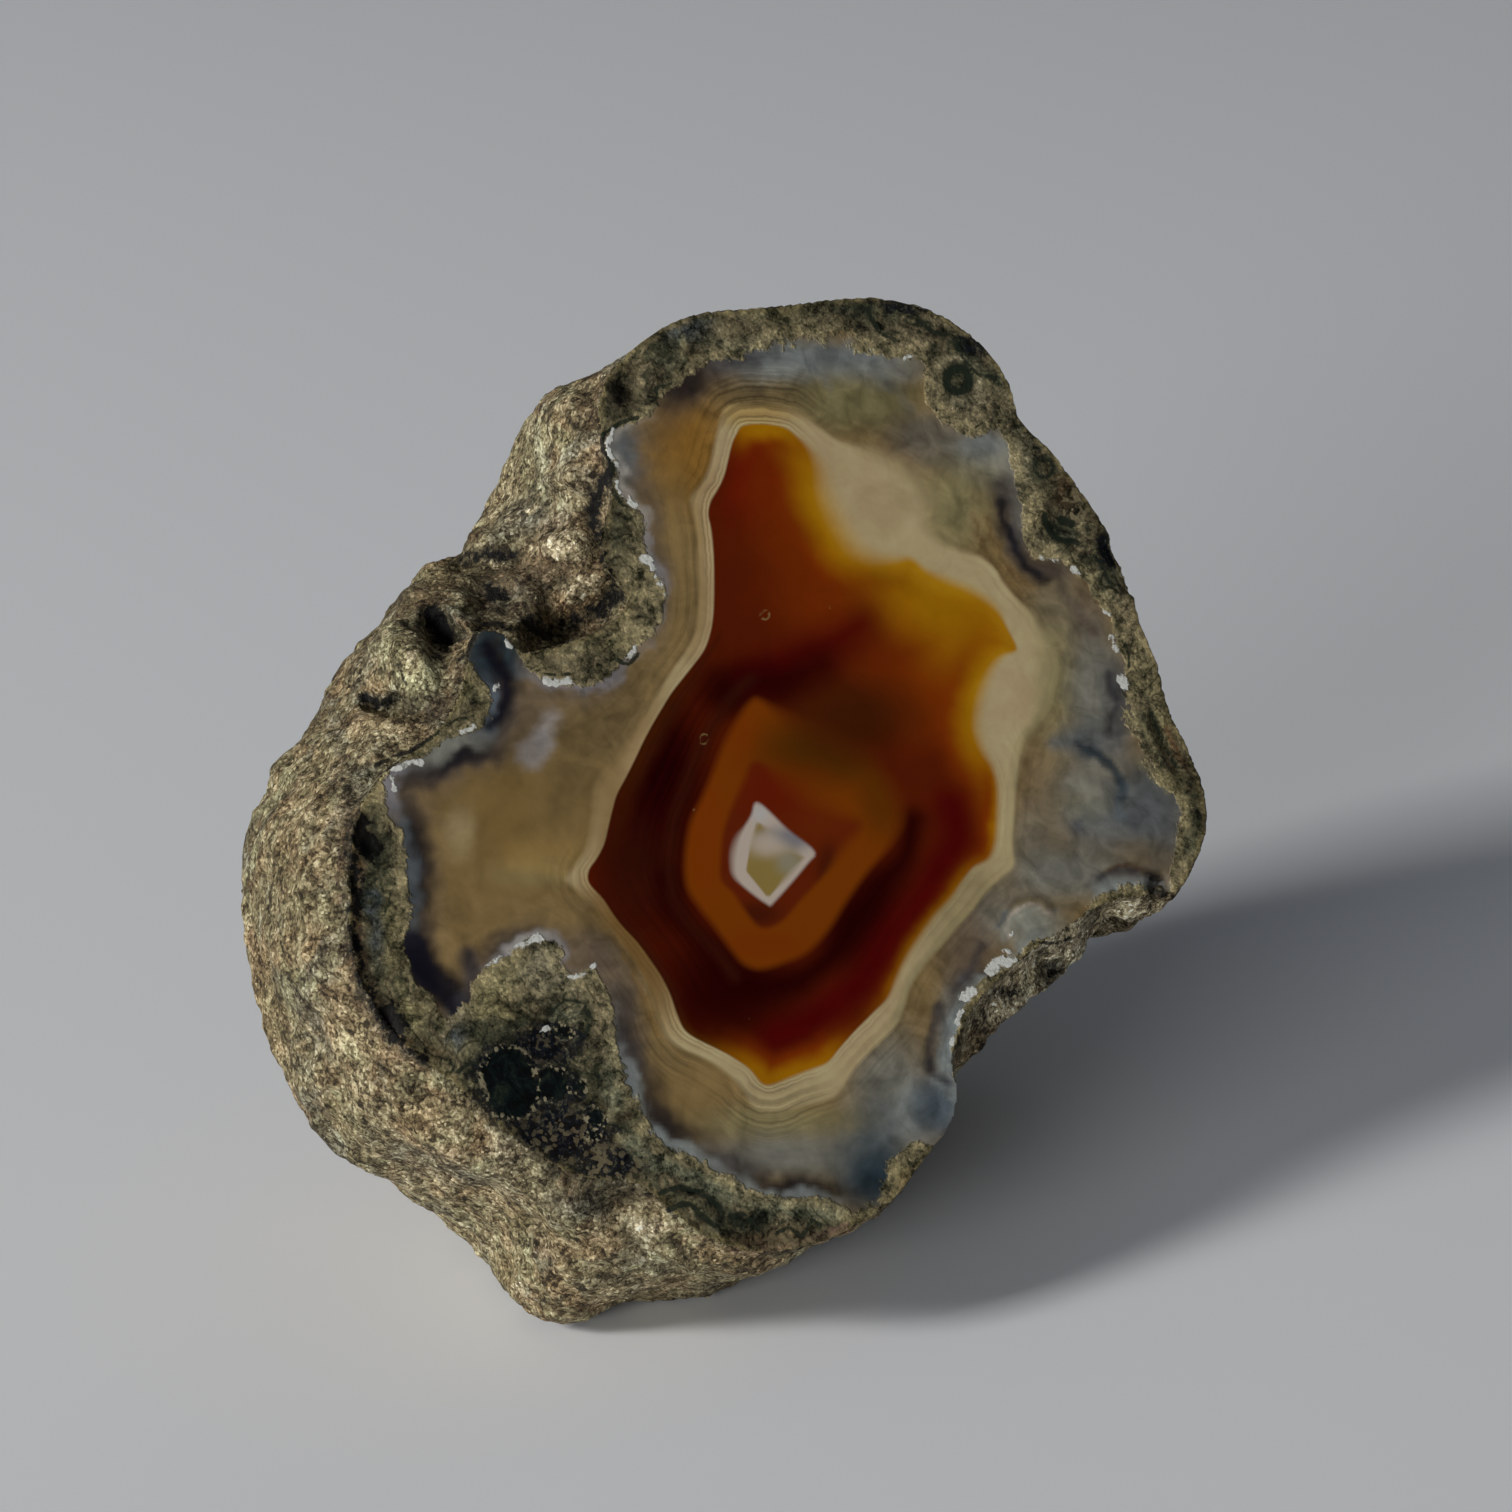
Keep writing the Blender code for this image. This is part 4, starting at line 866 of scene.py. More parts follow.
# White crystals: half width and points, in squares
CHALK = (
    (0.24, ((-11.3, 37.8), (-11.7, 36.6), (-11.4, 35.4), (-10.7, 34.6))),
    (0.10, ((-10.9, 33.0), (-10.5, 31.8), (-9.7, 31.0))),
    (0.30, ((-9.6, 30.9), (-8.9, 30.5))),
    (0.48, ((-8.1, 25.2), (-7.7, 25.0))),
    (0.28, ((-7.6, 24.8), (-7.2, 24.1))),
    (0.12, ((-7.0, 23.6), (-6.3, 22.4), (-5.8, 21.2))),
    (0.30, ((-18.0, 13.0), (-16.9, 12.7), (-15.6, 12.9))),
    (0.20, ((-9.8, 15.2), (-9.0, 16.2))),
    (0.42, ((-21.6, 17.2), (-21.5, 16.6))),
    (0.20, ((-22.8, 12.6), (-22.9, 12.0))),
    (0.26, ((-33.6, 4.2), (-32.4, 4.2), (-31.4, 4.8), (-30.3, 4.7))),
    (0.18, ((-33.4, 3.4), (-33.0, 2.0))),
    (0.22, ((-26.4, 7.8), (-25.2, 8.2))),
    (0.14, ((-20.8, -13.6), (-19.8, -13.3), (-19.0, -12.9))),
    (0.34, ((-18.9, -12.7), (-18.5, -13.0))),
    (0.12, ((-23.8, -15.6), (-22.4, -14.6))),
    (0.14, ((-15.9, -16.0), (-15.3, -16.6), (-14.3, -16.6), (-13.5, -16.0), (-13.0, -15.4))),
    (0.45, ((39.7, 13.1), (39.9, 12.5))),
    (0.16, ((38.6, 17.4), (39.2, 15.8))),
    (0.16, ((32.6, -8.9), (33.3, -9.4), (33.8, -9.3))),
    (0.14, ((28.6, -12.4), (28.6, -11.2), (29.4, -10.2))),
    (0.52, ((26.6, -16.1), (27.3, -15.2), (28.4, -15.2))),
    (0.16, ((28.0, -13.9), (28.8, -14.6), (28.9, -15.2))),
    (0.55, ((24.0, -18.7), (24.6, -18.2))),
    (0.20, ((23.7, -20.0), (23.3, -21.4))),
    (0.20, ((22.9, -22.6), (22.7, -23.4))),
    (0.24, ((18.0, 45.1), (18.6, 45.3))),
    (0.12, ((31.4, 25.3), (33.4, 24.9))),
    (0.26, ((34.9, 24.1), (35.2, 23.7))),
    (0.18, ((37.9, 19.9), (38.3, 19.6))),
    (0.18, ((-18.3, -22.0), (-17.6, -21.6))),
)
# Crumbly pale lumps on the rind: half width and points, in squares. On the bite's two big lumps and
# on the ledge they are partly painted light: the lumps' lit tops, and the ledge brightened where
# the lamps reach little
CRUMBS_AND_PAINTED_LIGHT = (
    # The bite's two big lumps: partly painted light on their lit tops
    (1.5, ((-16.9, 26.4), (-15.4, 26.9))),
    (1.3, ((-15.1, 21.6), (-13.5, 22.6))),
    (0.4, ((-14.7, 25.2), (-13.8, 25.1))),
    (0.4, ((-21.4, 28.8), (-19.8, 29.6), (-18.4, 31.4))),
    (0.5, ((-19.8, 26.2), (-19.0, 26.0))),
    (0.5, ((-23.6, 24.8), (-22.8, 24.4))),
    (0.9, ((-22.2, -34.4), (-21.0, -34.2))),
    (0.7, ((-8.8, -41.8), (-7.0, -41.6))),
    (0.5, ((-20.8, -47.6), (-20.0, -48.4))),
    (0.7, ((-31.6, 15.6), (-30.8, 14.4))),
    # The ledge's crusts: partly painted light, as the ledge faces away from the lamps
    (1.0, ((38.0, -11.0), (39.6, -10.3), (41.2, -10.5), (43.0, -11.0))),
    (1.1, ((26.6, -20.4), (28.4, -19.3), (30.2, -19.4), (32.2, -19.4))),
    (0.9, ((33.8, -17.0), (35.0, -16.1), (36.4, -15.3))),
    (0.8, ((29.0, -16.6), (30.6, -15.8))),
)
# The black granular mass round the dark spots: middle, half widths and strength
DARK_MASS = (
    ((-21.2, -27.2), (4.6, 4.6), 1.0),
    ((-17.6, -23.4), (4.0, 2.2), 1.0),
    ((-17.2, -28.0), (3.2, 3.0), 0.95),
    ((-16.0, -32.4), (5.8, 3.4), 0.85),
    ((-11.8, -35.4), (4.8, 2.0), 0.7),
    ((38.4, 26.0), (1.6, 2.6), 0.7),
    ((18.0, 50.4), (4.4, 1.0), 0.6),
    ((26.0, 46.6), (3.0, 1.6), 0.6),
)
# Where the bands that follow the core's edge and the cream's outer edge are strongest:
# middle, half widths and strength
CORE_LINES = (
    ((3.2, 41.0), (5.6, 4.5), 1.0),
    ((-1.6, 30.0), (2.2, 9.0), 0.7),
    ((-3.0, 18.0), (3.0, 6.0), 0.3),
    ((-14.6, -7.0), (2.6, 3.0), 0.5),
    ((-9.4, -14.6), (4.0, 6.0), 0.30),
    ((-4.6, -22.6), (4.5, 4.5), 0.65),
    ((4.6, -29.4), (6.0, 4.0), 0.75),
    ((15.0, -23.6), (4.4, 4.4), 0.35),
    ((22.6, -11.4), (5.0, 7.0), 0.15),
    ((28.6, 2.0), (2.0, 8.0), 0.15),
)
CREAM_LINES = (
    ((28.6, 23.0), (4.4, 5.0), 1.0),
    ((33.2, 12.0), (3.0, 8.0), 0.5),
    ((29.6, 1.0), (2.4, 8.0), 0.6),
    ((25.4, -9.6), (5.0, 6.0), 0.55),
    ((18.4, -20.0), (4.0, 7.0), 0.35),
    ((14.0, 36.6), (8.0, 2.4), 0.35),
    ((-5.4, 14.0), (5.0, 9.0), 0.5),
    ((-3.2, 26.0), (1.6, 9.0), 0.4),
    ((-12.0, -11.0), (6.0, 6.0), 0.3),
)
# Where the chalcedony is smooth, without wisps: middle, half widths and strength
STILL = (
    ((-21.0, -3.0), (10.0, 10.0), 0.9),
    ((-5.0, 30.0), (4.0, 14.0), 0.6),
    ((-4.0, -28.0), (6.0, 6.0), 0.7),
    ((8.0, -32.0), (8.0, 5.0), 0.6),
)
# Tiny inclusions in the glassy core and the pocket: half width and points, in squares
SPECKS = (
    (0.14, circle((4.0, 19.5), 0.45)),
    (0.12, circle((-2.1, 7.1), 0.5)),
    (0.16, ((10.4, 20.2), (10.5, 20.3))),
    (0.16, ((-3.1, 0.0), (-3.0, 0.1))),
    (0.14, ((2.3, -20.9), (2.4, -20.8))),
    (0.20, ((-23.0, -4.3), (-22.9, -4.2))),
    (0.22, ((-21.9, -6.6), (-21.8, -6.5))),
)
# Where the core itself is faintly striped: middle, half widths and strength
CORE_STRIPES = (
    ((-5.0, 6.0), (5.0, 12.0), 0.8),
    ((-5.0, -12.0), (6.0, 9.0), 0.6),
    ((15.0, -10.0), (6.0, 9.0), 0.3),
)
# Tone of the bands by distance outside the core's edge, in squares. 0.5 changes nothing
CORE_BANDS = (
    (0.00, 0.50), (0.16, 0.66), (0.34, 0.32), (0.54, 0.64), (0.78, 0.32), (1.00, 0.62),
    (1.35, 0.58), (1.62, 0.44), (1.80, 0.38), (1.95, 0.30), (2.20, 0.58), (2.55, 0.52),
    (2.78, 0.27), (3.05, 0.56), (3.50, 0.52), (3.72, 0.33), (3.95, 0.54), (4.50, 0.50),
    (4.75, 0.38), (5.00, 0.52), (6.00, 0.50),
)
# The same by distance inside the cream's outer edge, from 3 squares outside it on
CREAM_BANDS = (
    (0.0, 0.50), (0.8, 0.50), (1.0, 0.46), (1.2, 0.52), (1.7, 0.50), (1.95, 0.40), (2.2, 0.52),
    (2.6, 0.47), (2.9, 0.34), (3.15, 0.55), (3.5, 0.57), (3.75, 0.47), (4.0, 0.54),
    (4.5, 0.52), (4.8, 0.48), (5.1, 0.53), (6.0, 0.50),
)
BANDS_REACH = 6.0           # squares that the bands' lists above cover
BANDS_START = 3.0           # squares outside the cream's edge where its list starts
UNMARKED = -1.5             # what a mark's depth is kept as where it is this far off or more
# Vugs in the cut face: depth in metres, width, and points in squares
VUGS = (
    (0.0011, 1.5, ((43.2, -7.4), (43.9, -8.9))),
    (0.0003, 1.0, ((-36.4, -1.4), (-36.8, -2.6))),
    (0.0004, 1.2, ((-35.7, -3.2), (-35.5, -3.8))),
    (0.0004, 1.0, ((-37.1, -6.4), (-36.9, -7.6))),
    (0.0004, 1.0, ((-36.9, -12.0), (-36.5, -13.4))),
    (0.0003, 1.0, ((-36.2, -16.0), (-35.6, -17.8))),
    (0.0007, 1.4, ((-34.0, -20.2), (-33.4, -21.4), (-32.8, -22.4))),
    (0.0006, 2.2, ((-10.0, 42.6), (-9.2, 42.2))),
    (0.0004, 2.0, ((33.8, 28.8), (34.8, 28.4))),
    (0.0005, 1.4, ((38.6, 26.4), (39.4, 24.8), (40.4, 22.4))),
    (0.0004, 1.0, ((42.8, 9.6), (44.0, 6.6), (45.2, 4.2))),
    (0.0003, 4.0, ((-19.0, -23.0), (-17.0, -22.6))),
    (0.0003, 5.0, ((-18.0, -31.6), (-14.6, -33.6))),
)
# The rind as it is seen in front
RIND_PATCHES = (
    ("bark", (-13.2, 41.0), (2.6, 4.0), 0.7),
    ("dust", (-21.6, 34.6), (3.4, 5.0), 0.6),
    ("fawn", (-24.4, 30.4), (2.4, 2.4), 0.8),
    ("fawn", (-16.2, 33.2), (2.0, 1.6), 0.8),
    ("grit", (-18.6, 29.0), (3.4, 2.4), 0.9),
    # The bite: the bark stretch along the fold is a painted shadow under the lump above it; the
    # soil, peat and bark below are partly dark stone, partly painted shade in the hollow
    ("bark", (-24.4, 26.2), (3.4, 1.0), 0.7),
    ("loam", (-26.4, 23.4), (3.0, 1.8), 0.6),
    ("soil", (-21.0, 21.6), (6.0, 3.0), 0.85),
    ("soil", (-17.6, 24.0), (3.6, 2.4), 0.85),
    ("bark", (-12.6, 28.0), (2.0, 6.0), 0.8),
    ("bark", (-14.0, 18.4), (6.0, 2.4), 0.8),
    ("peat", (-18.6, 23.6), (2.4, 1.6), 0.7),
    ("bark", (-33.4, 21.4), (4.4, 2.6), 0.9),
    ("loam", (-32.4, 6.2), (2.0, 1.2), 0.8),
    ("lichen", (-31.0, 14.8), (3.2, 3.4), 0.95),
    ("fawn", (-31.2, 15.0), (1.8, 2.0), 0.7),
    ("bark", (-35.8, 16.0), (2.4, 2.6), 0.6),
    ("soil", (-28.8, 10.6), (2.8, 2.0), 0.8),
    ("bark", (-27.0, 14.6), (1.3, 2.6), 0.7),
    ("fawn", (-34.6, 7.8), (2.8, 1.8), 0.7),
    ("loam", (-40.0, 4.0), (3.0, 3.0), 0.6),
    ("clay", (-38.8, -8.0), (1.8, 9.0), 0.5),
    ("fawn", (-39.6, -4.0), (1.6, 2.4), 0.6),
    ("loam", (-43.8, -8.0), (2.6, 5.0), 0.6),
    ("loam", (-45.4, -20.6), (2.6, 4.4), 0.8),
    # Low on the left the fawn, dust and ivory patches are partly the rind's own pale colour, partly
    # painted light where the lamps reach little
    ("fawn", (-36.6, -21.4), (2.2, 3.4), 0.85),
    ("dust", (-41.0, -25.2), (2.4, 2.0), 0.7),
    ("loam", (-38.6, -30.4), (2.0, 2.0), 0.8),
    ("clay", (-31.0, -31.0), (2.6, 2.4), 0.7),
    ("dust", (-34.2, -33.2), (2.2, 1.6), 0.8),
    ("fawn", (-29.6, -36.2), (3.4, 2.2), 0.8),
    ("clay", (-24.4, -32.6), (1.6, 2.2), 0.8),
    ("dust", (-26.2, -30.4), (1.6, 1.2), 0.8),
    ("ivory", (-21.6, -34.4), (1.8, 1.4), 0.8),
    ("fawn", (-22.4, -37.4), (2.6, 1.8), 0.8),
    ("dust", (-25.4, -41.2), (2.6, 2.0), 0.8),
    ("russet", (-27.6, -34.0), (1.6, 1.4), 0.6),
    ("loam", (-18.6, -41.0), (3.6, 2.4), 0.9),
    ("grit", (-14.4, -39.6), (3.6, 2.0), 0.9),
    ("loam", (-22.0, -46.4), (3.4, 2.0), 0.8),
    ("ivory", (-7.9, -41.8), (1.8, 0.9), 0.9),
    ("bark", (-10.0, -38.6), (4.0, 1.2), 0.7),
    ("peat", (-15.0, -34.8), (5.6, 2.6), 0.95),
    ("soil", (-10.6, -37.0), (4.0, 1.6), 0.6),
    ("fawn", (-10.0, -48.0), (4.4, 1.6), 0.8),
    ("dust", (-5.4, -45.4), (3.0, 1.2), 0.5),
    ("loam", (0.0, -45.4), (6.0, 1.4), 0.6),
    # The ledge's pale crusts, painted paler than they are as painted light, since the ledge faces
    # away from the lamps; the pine spot is painted shade in the groove pressed there
    ("ivory", (34.6, -13.6), (6.0, 3.0), 0.8),
    ("pine", (33.0, -16.0), (1.2, 1.4), 0.9),
    ("ivory", (28.6, -18.6), (4.0, 3.4), 0.75),
    ("ivory", (41.0, -9.6), (3.6, 1.6), 0.8),
)
RIND_STROKES = (
    ("clay", 3.0, 1.6, 0.8, ((-15.6, 20.6), (-14.2, 21.7), (-13.0, 22.6))),
    ("cinder", 1.2, 1.2, 0.8, (
        (-37.6, -0.6), (-38.2, -4.0), (-38.3, -8.0), (-38.0, -12.0), (-37.4, -15.8), (-36.0, -19.4),
        (-34.2, -22.4), (-32.4, -24.4),
    )),
    ("soil", 1.4, 1.4, 0.8, ((-33.4, 10.7), (-31.0, 10.3), (-29.0, 9.4))),
    # The ledge's crusts, painted paler as painted light
    ("ivory", 1.3, 0.8, 0.95, ((26.2, -20.4), (28.0, -19.5), (30.0, -19.4), (32.0, -19.4))),
    ("ivory", 0.9, 0.7, 0.95, ((33.6, -17.2), (35.0, -16.0), (36.4, -15.3))),
)
# Grooves pressed into the rind: depth in metres, width, and points in squares
GROOVES = (
    (0.0011, 2.4, ((-12.2, 33.4), (-13.0, 31.0), (-13.4, 28.4), (-12.6, 25.6), (-11.9, 23.2))),
    (0.0013, 2.6, ((-11.4, 21.0), (-13.4, 19.5), (-15.8, 18.4), (-18.6, 17.6))),
    (0.0016, 2.0, ((-29.2, 19.5), (-28.4, 18.3), (-27.8, 17.4))),
    (0.0014, 1.3, ((-35.6, 11.0), (-33.6, 10.6))),
    (0.0007, 1.2, ((-35.0, 4.4), (-32.0, 5.6), (-29.4, 7.2))),
    (0.0008, 1.4, ((-33.6, 10.7), (-31.0, 10.2), (-28.6, 9.8))),
    (0.0010, 1.8, ((-26.6, 25.1), (-24.0, 25.4), (-21.0, 25.2))),
    (0.0010, 2.6, ((-24.0, 21.8), (-22.0, 21.4))),
    (-0.0013, 2.6, ((-17.0, 26.4), (-15.0, 27.0))),
    (-0.0014, 2.2, ((-15.0, 21.2), (-13.6, 22.4))),
    (-0.0008, 2.2, ((-16.8, 33.2), (-15.4, 33.4))),
    (-0.0008, 3.4, ((-24.6, 27.4), (-22.0, 27.6))),
    (-0.0007, 3.6, ((-31.4, 16.0), (-30.6, 13.6))),
    (0.0008, 2.0, ((32.0, -15.8), (33.4, -16.6))),
)


@dataclass
class Zone:
    """A zone of the face. Its ground colour, patches, fringes along its edge and strokes are
    laid over each other in this order, and its edge is softer on the soft stretches."""
    outline: tuple
    ground: str
    softness: float
    soft_stretches: tuple = ()
    patches: tuple = ()
    fringes: tuple = ()
    strokes: tuple = ()
    raggedness: float = 0.1
    curved: bool = True


# From the outside in. A soft stretch is its softness, middle and half widths, in squares
ZONES = {
    "chalcedony": Zone(
        CHALCEDONY, "honey", 0.18,
        soft_stretches=(
            (0.42, (8.0, 47.0), (9.0, 2.5)),
            (0.42, (41.0, 4.0), (3.0, 7.0)),
            (0.40, (14.0, -40.0), (3.0, 3.0)),
        ),
        patches=CHALCEDONY_PATCHES, fringes=CHALCEDONY_FRINGES, strokes=CHALCEDONY_STROKES,
        raggedness=0.35,
    ),
    "cream": Zone(
        CREAM, "cream", 0.3,
        soft_stretches=(
            (2.0, (20.0, 33.0), (7.0, 6.0)),
            (0.9, (31.0, 12.0), (3.0, 8.0)),
            (0.9, (-12.0, 3.0), (4.0, 9.0)),
        ),
        patches=CREAM_PATCHES, fringes=CREAM_FRINGES, strokes=CREAM_STROKES,
    ),
    "core": Zone(
        CORE, "chestnut", 0.14,
        soft_stretches=(
            (1.9, (12.0, 29.0), (6.0, 8.0)),
            (0.8, (24.0, 22.0), (8.0, 3.0)),
            (1.0, (26.5, 10.0), (3.0, 6.5)),
            (0.5, (27.0, -1.0), (3.0, 6.0)),
            (0.5, (20.0, -13.0), (6.0, 8.0)),
            (0.3, (7.0, -26.5), (5.0, 2.0)),
        ),
        patches=CORE_PATCHES, fringes=CORE_FRINGES, strokes=CORE_STROKES,
    ),
    "amber": Zone(
        AMBER, "amber", 0.55,
        soft_stretches=((2.6, (11.0, 7.0), (7.0, 4.0)), (1.5, (17.0, 1.0), (2.5, 4.0))),
        patches=AMBER_PATCHES,
    ),
    "heart": Zone(
        HEART, "heart", 0.4,
        soft_stretches=((2.0, (9.0, 1.6), (6.0, 3.0)), (1.0, (12.0, -3.0), (3.0, 3.0))),
        patches=HEART_PATCHES,
    ),
    "diamond": Zone(
        DIAMOND, "bone", 0.25,
        soft_stretches=((0.7, (0.8, -4.0), (0.9, 3.0)),),
        patches=DIAMOND_PATCHES,
    ),
    "window": Zone(
        WINDOW, "straw", 0.14,
        soft_stretches=((1.1, (6.0, -3.0), (2.8, 1.6)), (0.5, (6.6, -6.4), (2.0, 1.4))),
        patches=WINDOW_PATCHES, curved=False,
    ),
}
GLASSY_ZONES = ("amber", "heart", "diamond", "window")      # no matrix reaches these
FAR = 12.0                  # edges count as this many squares or soft widths away at most
RINGS_OUTSIDE = 10.0        # squares outside the chalcedony that the rings' number still falls


def points_of(mesh):
    """The mesh's points, as rows of x, y and z."""
    flat = np.empty(len(mesh.vertices) * 3)
    mesh.vertices.foreach_get("co", flat)
    return flat.reshape(-1, 3)


def normals_of(mesh):
    """The directions that the mesh's points face, as rows of x, y and z."""
    flat = np.empty(len(mesh.vertices) * 3)
    mesh.vertex_normals.foreach_get("vector", flat)
    return flat.reshape(-1, 3)


def facing(mesh, eye=EYE):
    """Which of the mesh's points face the eye that the grid is drawn from."""
    return np.einsum("ij,ij->i", normals_of(mesh), np.array(eye) - points_of(mesh)) > 0


def drawn_places(points):
    """Where on the drawing grid points of the stone are seen, in squares."""
    eye = np.array(EYE)
    sight = points - eye
    to_plane = np.array(FACE_POINT - EYE) @ np.array(TOWARD_EYE)
    seen = eye + sight * (to_plane / (sight @ np.array(TOWARD_EYE)))[:, None]
    across = seen - np.array(FACE_POINT)
    return np.stack((across @ np.array(RIGHT), across @ np.array(UPWARD)), axis=1) / SQUARE


def smooth_step(value, low, high):
    """0 below low, 1 above high, and an even rise between them."""
    share = np.clip((value - low) / (high - low), 0.0, 1.0)
    return share * share * (3 - 2 * share)


def curve(points, closed=False, steps=CURVE_STEPS):
    """Points spaced along a smooth curve through the given ones."""
    given = np.array(points, dtype=float)
    count = len(given)
    if count < 3:
        return given
    spans = count if closed else count - 1
    share = np.arange(steps)[:, None] / steps
    pieces = []
    for k in range(spans):
        at = [k - 1, k, k + 1, k + 2]
        at = [i % count for i in at] if closed else [min(max(i, 0), count - 1) for i in at]
        a, b, c, d = given[at]
        pieces.append(0.5 * (
            2 * b
            + (c - a) * share
            + (2 * a - 5 * b + 4 * c - d) * share ** 2
            + (3 * b - a - 3 * c + d) * share ** 3
        ))
    pieces.append(given[:1] if closed else given[-1:])
    return np.concatenate(pieces)


def distance(drawn, line):
    """How far places are from a line, in squares."""
    nearest = np.full(len(drawn), np.inf)
    for a, b in zip(line[:-1], line[1:]):
        along = b - a
        length = max(float(along @ along), NO_LENGTH)
        share = np.clip((drawn - a) @ along / length, 0.0, 1.0)
        apart = drawn - a - share[:, None] * along
        nearest = np.minimum(nearest, apart[:, 0] ** 2 + apart[:, 1] ** 2)
    return np.sqrt(nearest)


def inside(drawn, line):
    """Which places are inside a closed line."""
    within = np.zeros(len(drawn), dtype=bool)
    x, y = drawn[:, 0], drawn[:, 1]
    for a, b in zip(line[:-1], line[1:]):
        crosses = (a[1] > y) != (b[1] > y)
        if a[1] != b[1]:
            within ^= crosses & (x < a[0] + (y - a[1]) * (b[0] - a[0]) / (b[1] - a[1]))
    return within


def around(drawn, line, reach):
    """Which places are within a reach of the box round a line."""
    low, high = line.min(axis=0) - reach, line.max(axis=0) + reach
    return np.all((drawn > low) & (drawn < high), axis=1)


def patch_share(drawn, middle, half):
    """How strongly a soft patch shows at places, fullest at its middle."""
    apart = np.hypot(*((drawn - middle) / half).T)
    return np.exp(-apart ** 3)


def stroke_share(drawn, width, softness, points):
    """How strongly a stroke shows at places."""
    line = curve(points)
    near = around(drawn, line, width / 2 + softness)
    share = np.zeros(len(drawn))
    apart = distance(drawn[near], line)
    share[near] = 1 - smooth_step(apart, (width - softness) / 2, (width + softness) / 2)
    return share


def share_of(drawn, patches):
    """How strongly a set of patches shows at places."""
    share = np.zeros(len(drawn))
    for middle, half, strength in patches:
        share = np.maximum(share, strength * patch_share(drawn, middle, half))
    return share


def marks(drawn, lines):
    """How far places are inside lines drawn with a half width, in squares."""
    deepest = np.full(len(drawn), UNMARKED)
    for half, points in lines:
        line = curve(points)
        near = around(drawn, line, half - UNMARKED)
        deepest[near] = np.maximum(deepest[near], half - distance(drawn[near], line))
    return deepest


def painted(drawn, ground, patches, strokes, light=FACE_LIGHT, fringes=(), depth=None):
    """Colours of places: a ground, soft patches, fringes by depth from an edge, and strokes.
    A fourth value tells how much of the ground still shows."""
    colour = np.tile((*shade(ground, light), 1.0), (len(drawn), 1))

    def lay(name, share):
        """Lays a colour over a share of each place."""
        colour[:] += (np.array((*shade(name, light), 0.0)) - colour) * share[:, None]

    for name, middle, half, strength in patches:
        lay(name, strength * patch_share(drawn, middle, half))
    for name, reach, softness, strength, middle, half in fringes:
        within = 1 - smooth_step(depth, reach - softness, reach + softness)
        lay(name, strength * within * patch_share(drawn, middle, half))
    for name, width, softness, strength, points in strokes:
        lay(name, strength * stroke_share(drawn, width, softness, points))
    return colour


def wandering(points, size, reach, which):
    """Small smooth shifts in two directions at points, from noise of this size."""
    first = Vector((which, 0.0, 0.0))
    return reach * np.array([
        (noise.noise(p / size + first), noise.noise(p / size + first + SECOND_NOISE))
        for p in map(Vector, points)
    ])


def store(mesh, name, values):
    """Keeps numbers or colours on the mesh's points under a name that a material reads."""
    values = np.asarray(values, dtype=np.float32)
    kind, field = ("FLOAT", "value") if values.ndim == 1 else ("FLOAT_COLOR", "color")
    layer = mesh.attributes.new(name, kind, "POINT")
    layer.data.foreach_set(field, values.ravel())


def face_frame():
    """Turns the stone so that its polished face lies flat at height 0, looking up."""
    side = (RIGHT - FACE_NORMAL * RIGHT.dot(FACE_NORMAL)).normalized()
    rise = FACE_NORMAL.cross(side)
    turn = Matrix((side, rise, FACE_NORMAL)).to_4x4()
    return turn @ Matrix.Translation(-FACE_POINT)


def evaluated(piece):
    """The piece's mesh with its modifiers worked in."""
    graph = bpy.context.evaluated_depsgraph_get()
    return bpy.data.meshes.new_from_object(piece.evaluated_get(graph))


def fine_mesh():
    """The solid stone in even small faces, fewer where the rind is behind."""
    work = bmesh.new()
    work.from_mesh(frame["nodes"]["agate"].data)
    bmesh.ops.remove_doubles(work, verts=work.verts, dist=TOUCHING)
    bmesh.ops.transform(work, matrix=face_frame(), verts=work.verts)
    mesh = bpy.data.meshes.new("agate_stone")
    work.to_mesh(mesh)
    work.free()
    piece = bpy.data.objects.new("agate_stone", mesh)
    bpy.context.scene.collection.objects.link(piece)
    remesh = piece.modifiers.new("even faces", "REMESH")
    remesh.mode = "VOXEL"
    remesh.voxel_size = GRAIN
    piece.data = evaluated(piece)
    piece.modifiers.clear()
    flatten_face(piece.data)
    thin_rind(piece)
    return piece


def flatten_face(mesh):
    """Lays the points of the cut face exactly on it."""
    points = points_of(mesh)
    points[np.abs(points[:, 2]) < FLAT, 2] = 0.0
    mesh.vertices.foreach_set("co", points.ravel())


def thin_rind(piece):
    """Leaves fewer faces on the rind, and fewest where the drawing doesn't see it."""
    eye = face_frame() @ EYE
    for in_front, share in ((False, HIDDEN_SHARE), (True, FRONT_SHARE)):
        rind = points_of(piece.data)[:, 2] < -RIM_REACH
        thin(piece, rind & (facing(piece.data, eye) == in_front), share)


def thin(piece, chosen, share):
    """Keeps a share of the faces at the chosen points."""
    group = piece.vertex_groups.new(name="chosen")
    group.add(np.flatnonzero(chosen).tolist(), 1.0, "REPLACE")
    fewer = piece.modifiers.new("fewer faces", "DECIMATE")
    fewer.vertex_group = "chosen"
    fewer.ratio = 1 - (1 - share) * chosen.mean()
    piece.data = evaluated(piece)
    piece.modifiers.clear()
    piece.vertex_groups.clear()


def rind_height(place):
    """How far the rind stands out at a place, in metres: swells, knobs, grains and pits."""
    height = sum(high * noise.noise(place / wide + shift) for high, wide, shift in RIND_WAVES)
    cell = noise.voronoi(place / CELL_WIDTH)[0][0]
    pit = noise.noise(place / PIT_WIDTH + PIT_SHIFT)
    return height - CELL_DEPTH * cell - PIT_DEPTH * max(0.0, pit - PIT_START)


